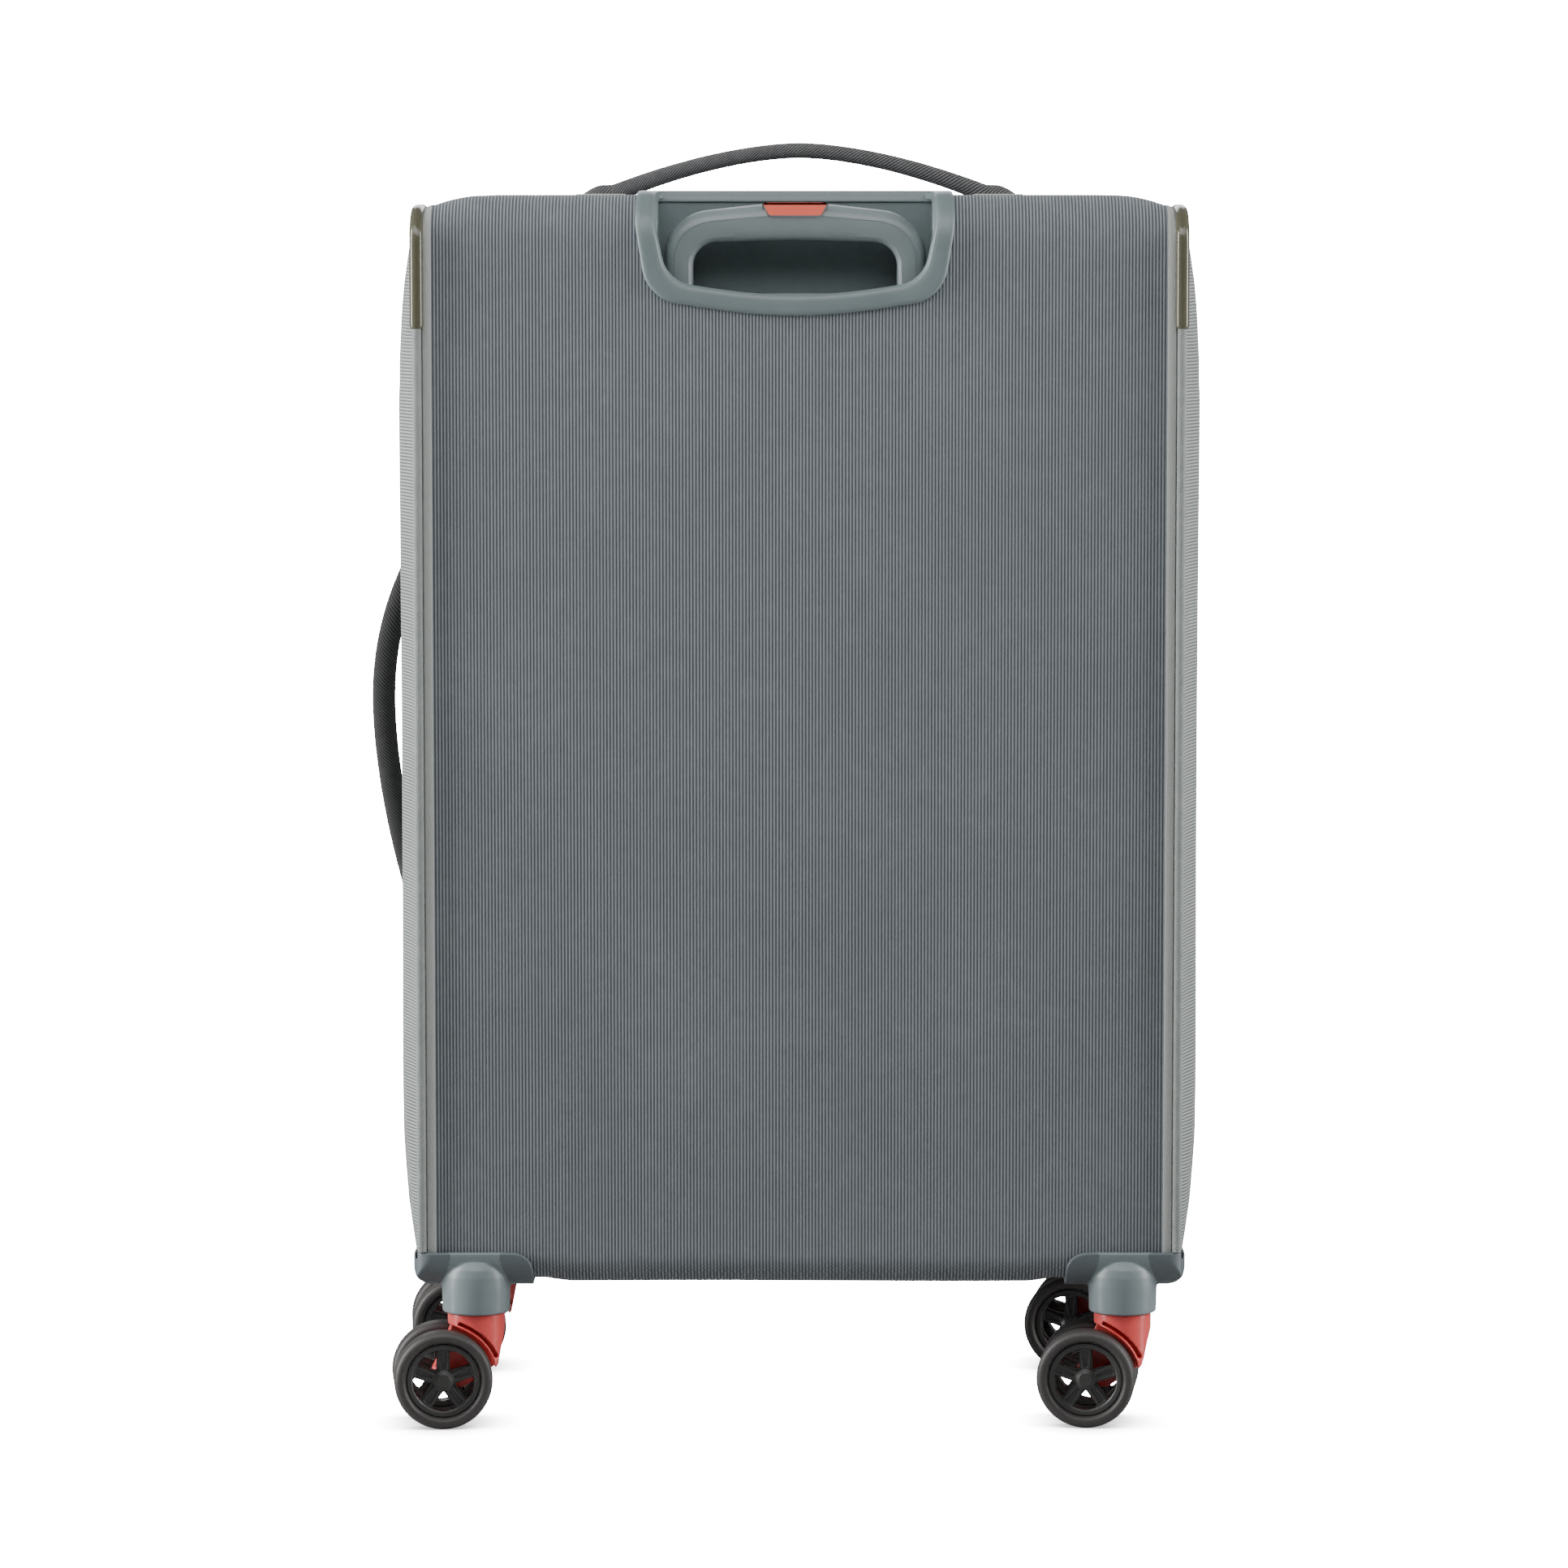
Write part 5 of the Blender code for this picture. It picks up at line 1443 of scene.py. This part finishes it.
def teeth(name, path, out, pitch, width, height, body):
    """Alternating blocks along an open path; out gives the way the zip faces at a point."""
    count = int(lengths(path)[-1] / pitch)
    verts, faces = [], []
    for i, (centre, step) in enumerate(paced(path, [(i + 0.5) * pitch for i in range(count)])):
        along, face = step.normalized(), out(centre).normalized()
        across = along.cross(face).normalized()
        side = 1 if i % 2 else -1
        base = len(verts)
        for high, size in ((0, 1.0), (height, 0.72)):
            for u, v in TOOTH:
                verts.append(centre + along * (u * pitch * 1.4 * size)
                             + across * (side * v * width * size) + face * high)
        faces += [[base + n for n in quad] for quad in SIDES]
    mesh = bpy.data.meshes.new(name)
    mesh.from_pydata(verts, [], faces)
    obj = bpy.data.objects.new(name, mesh)
    bpy.context.scene.collection.objects.link(obj)
    editing(obj, outward)
    dressed(obj, "teeth", body, "black_plastic", angle=30)


def tape(name, path, out, half, lift, body):
    rows = []
    for k, point in enumerate(path):
        along = (path[min(k + 1, len(path) - 1)] - path[max(k - 1, 0)]).normalized()
        face = out(point).normalized()
        across = along.cross(face).normalized()
        rows.append([point + across * half * t + face * (lift * (1 - abs(t) ** 3))
                     for t in (-1, -0.5, -0.12, 0.12, 0.5, 1)])
    strip = wrapped(name, rows)
    modify(strip, "SOLIDIFY", thickness=0.5 * MM, offset=0)
    dressed(strip, "tape", body, "ribbed_fabric", angle=50)


def straight_zip(name, path, toward, lift, tooth):
    """A zip on the lid, facing along y: tape lifted by lift, with teeth tooth high."""
    tape(name + "_tape", path, lambda place: Vector((0, toward, 0)), 8 * MM, lift, "lid")
    teeth(name + "_teeth", path, lambda place: Vector((0, toward, 0)), 2.0 * MM, 2.4 * MM, tooth,
          "lid")


# %% The main zip round three sides
gap_y = (ZIP + lid_low.y) / 2 - BACK
MIDDLE_Z, HALF_HIGH = (TOP + BOTTOM) / 2, (TOP - BOTTOM) / 2
left, hinge_end = -SEAM - 0.6 * MM, SEAM - 8 * MM
low, high = BOTTOM + 0.6 * MM, TOP - 0.6 * MM
outline = fillet([(left, low, 14 * MM), (hinge_end, low, 0), (hinge_end, high, 0),
                  (left, high, 14 * MM)], 6)
# The closing run up the hinge side is dropped, and the path starts where that leaves a gap.
path = [drooped(x, gap_y, z) for x, z in evenly(outline, 900) if x < SEAM - 9 * MM]
start = max(range(len(path)), key=lambda k: (path[k] - path[k - 1]).length)
path = path[start:] + path[:start]


def away(point):
    """The way the main zip faces: up or down, left, or between them in the corners."""
    up = point.z - MIDDLE_Z
    if abs(up) > HALF_HIGH - 4 * MM:
        return Vector((0, 0, math.copysign(1, up)))
    if abs(up) > HALF_HIGH - 14 * MM:
        return Vector((-0.7, 0, math.copysign(0.7, up)))
    return Vector((-1, 0, 0))


tape("main_zip_tape", path, away, 5 * MM, 0.8 * MM, "case")
teeth("main_zip_teeth", path, away, 2.1 * MM, 2.6 * MM, 1.7 * MM, "case")

# %% The pocket's zip
zip_z = middle("pocket_slider").z
zip_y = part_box("pocket_slider")[0].y - BACK - 1.6 * MM
reach = pocket_half - 14 * MM
straight_zip("pocket_zip", [at(x, zip_y, zip_z) for x in
                            spread(pocket_mid - reach, pocket_mid + reach, 60)], 1, 0.9 * MM,
             1.6 * MM)

# %% [markdown]
# ## Inside
# With the lid open the case shows its lining: thin grey cloth over the walls, a zipped divider
# cloth in the lid, and four webbing straps that meet in one clip over the clothes.

# %% Lining of the main part
LINING = 0.6 * MM


def lining_outline(inset):
    half = SEAM - inset
    return evenly(rounded(-half, BOTTOM + inset, half, TOP - inset - 7 * MM, 12 * MM), 160)


def lined(obj, body, angle):
    """Gives a grid the lining's thickness and finish."""
    modify(obj, "SOLIDIFY", thickness=LINING, offset=0)
    return dressed(obj, "lining", body, "ribbed_fabric", angle=angle)


# In mm: in from the shell's outside, and in from the zip line.
LINING_RINGS = ((0.6, 1.0), (3.6, 1.0), (5.2, 6.0), (5.6, 60), (5.6, 120), (5.6, 160))
lining = wrapped("case_lining", [[at(x, DEPTH - y * MM, z) for x, z in lining_outline(inset * MM)]
                                 for inset, y in LINING_RINGS], closed=True)
lining.data.flip_normals()
lined(lining, "case", 50)
rows = [[at(x, RECESS + 4.5 * MM + 1.4 * MM * math.sin(x * 60) * math.sin(z * 21), z)
         for x in spread(-SEAM + 6 * MM, SEAM - 6 * MM, 60)]
        for z in spread(BOTTOM + 6 * MM, TOP - 14 * MM, 90)]
panel = lined(wrapped("back_lining", rows), "case", 60)
wide, high = 2 * SEAM - 12 * MM, TOP - BOTTOM - 20 * MM
2 * (wide + high)

# %% Tie straps with a clip
STRAP, STRAP_THICK, STRAP_SAG = 24 * MM, 1.4 * MM, 4 * MM
STRAP_SECTION = ((-0.5, 0), (-0.46, 0.5), (0.46, 0.5), (0.5, 0), (0.46, -0.5), (-0.46, -0.5))


def strap(name, start, end):
    rows = []
    across = (end - start).cross(Vector((0, 1, 0))).normalized()
    for t in spread(0, 1, 40):
        centre = start.lerp(end, t) - Vector((0, STRAP_SAG * math.sin(math.pi * t), 0))
        rows.append([centre + across * (STRAP * u) + Vector((0, STRAP_THICK * v, 0))
                     for u, v in STRAP_SECTION])
    obj = dressed(wrapped(name, rows, closed=True, ends=True), "webbing", "case",
                  "handle_webbing", angle=50)


strap_y = DEPTH - 26 * MM
clip = at(0, strap_y - 10 * MM, MIDDLE_Z)
for letter, x, z in (("a", -1, 1), ("b", 1, 1), ("c", -1, -1), ("d", 1, -1)):
    strap(f"tie_strap_{letter}", at(x * (SEAM - 7 * MM), strap_y, MIDDLE_Z + z * 0.19),
          clip + Vector((x * 18 * MM, 0, z * 12 * MM)))
buckle = slab("tie_buckle", rounded(-30 * MM, MIDDLE_Z - 22 * MM, 30 * MM, MIDDLE_Z + 22 * MM,
                                    8 * MM, 10), strap_y - 16 * MM, strap_y - 6 * MM)
for x in (-15 * MM, 15 * MM):
    opening = rounded(x - 6 * MM, MIDDLE_Z - 14 * MM, x + 6 * MM, MIDDLE_Z + 14 * MM, 0)
    boolean(buckle, "DIFFERENCE", slab("slot", opening, strap_y - 0.1, strap_y + 0.1))
soften(buckle, 1.6 * MM, 3, 40)
dressed(buckle, "black", "case", "black_plastic", angle=30)

# %% Divider cloth in the lid
rows = [[at(x, LID_BACK + 12 * MM + 2.2 * MM * math.sin(x * 41 + z * 9) * math.sin(z * 17), z)
         for x in spread(-LID_HALF + 5 * MM, LID_HALF - 5 * MM, 60)]
        for z in spread(lid_low.z + 6 * MM, lid_high.z - 12 * MM, 90)]
divider = lined(wrapped("lid_divider", rows), "lid", 60)
straight_zip("divider_zip", [at(x, LID_BACK + 10 * MM, lid_high.z - 60 * MM) for x in
                             spread(-LID_HALF + 30 * MM, LID_HALF - 30 * MM, 50)], -1, 0.8 * MM,
             1.4 * MM)

# %% The fabric hinge
low_z, high_z = BOTTOM + 20 * MM, TOP - 20 * MM
rows = [[at(SEAM + 1.6 * MM, y, z) for y in spread(DEPTH - 8 * MM, LID_BACK + 9 * MM, 12)]
        for z in spread(low_z, high_z, 80)]
hinge = wrapped("hinge_cloth", rows)
modify(hinge, "SOLIDIFY", thickness=0.9 * MM, offset=0)
# The hinge takes the lighter side cloth: painted light, as on the side panels.
hinge.data.materials.append(SKIN["side_fabric_painted_lit"])
bpy.ops.object.shade_smooth_by_angle(angle=math.radians(60))
at(SEAM, DEPTH - 2 * MM, 0.4)
at(SEAM, LID_BACK + 3 * MM, 0.4)
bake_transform(hinge)

# %% [markdown]
# ## The floor
# A pale sheet under the case, big enough that its edge is never seen. A little gloss in it gives
# the faint reflection under the wheels. To the camera it glows, and the glow is darkened where
# ambient occlusion finds the case near: a painted contact shadow under the wheels and casters.

# %% Floor
bpy.ops.object.select_all(action="DESELECT")
bpy.ops.mesh.primitive_plane_add(size=40, location=(0, 0, 0))
floor = bpy.context.object
floor.name = "floor"
white = Finish("white_floor", (0.4, 0.4, 0.4), 0.16, Specular_IOR_Level=0.5)
# Ambient occlusion dims the camera-only glow near the case: painted contact shadow.
near = white.node("ShaderNodeAmbientOcclusion", Distance=0.06)
painted_contact_shadow = Value(white.tree, near.outputs["AO"]).math("POWER", 3.0)
glow = white.node("ShaderNodeEmission", Strength=30.0,
                  Color=white.mix(painted_contact_shadow, (0.02, 0.02, 0.02), (1.0, 1.0, 1.0)))
seen = white.node("ShaderNodeLightPath")
lit = white.node("ShaderNodeAddShader")
both = white.node("ShaderNodeMixShader")
for start, end in ((white.shader.outputs[0], lit.inputs[0]), (glow.outputs[0], lit.inputs[1]),
                   (seen.outputs["Is Camera Ray"], both.inputs["Fac"]),
                   (white.shader.outputs[0], both.inputs[1]), (lit.outputs[0], both.inputs[2]),
                   (both.outputs[0], white.tree.nodes["Material Output"].inputs["Surface"])):
    white.tree.links.new(start, end)
floor.data.materials.append(white.material)
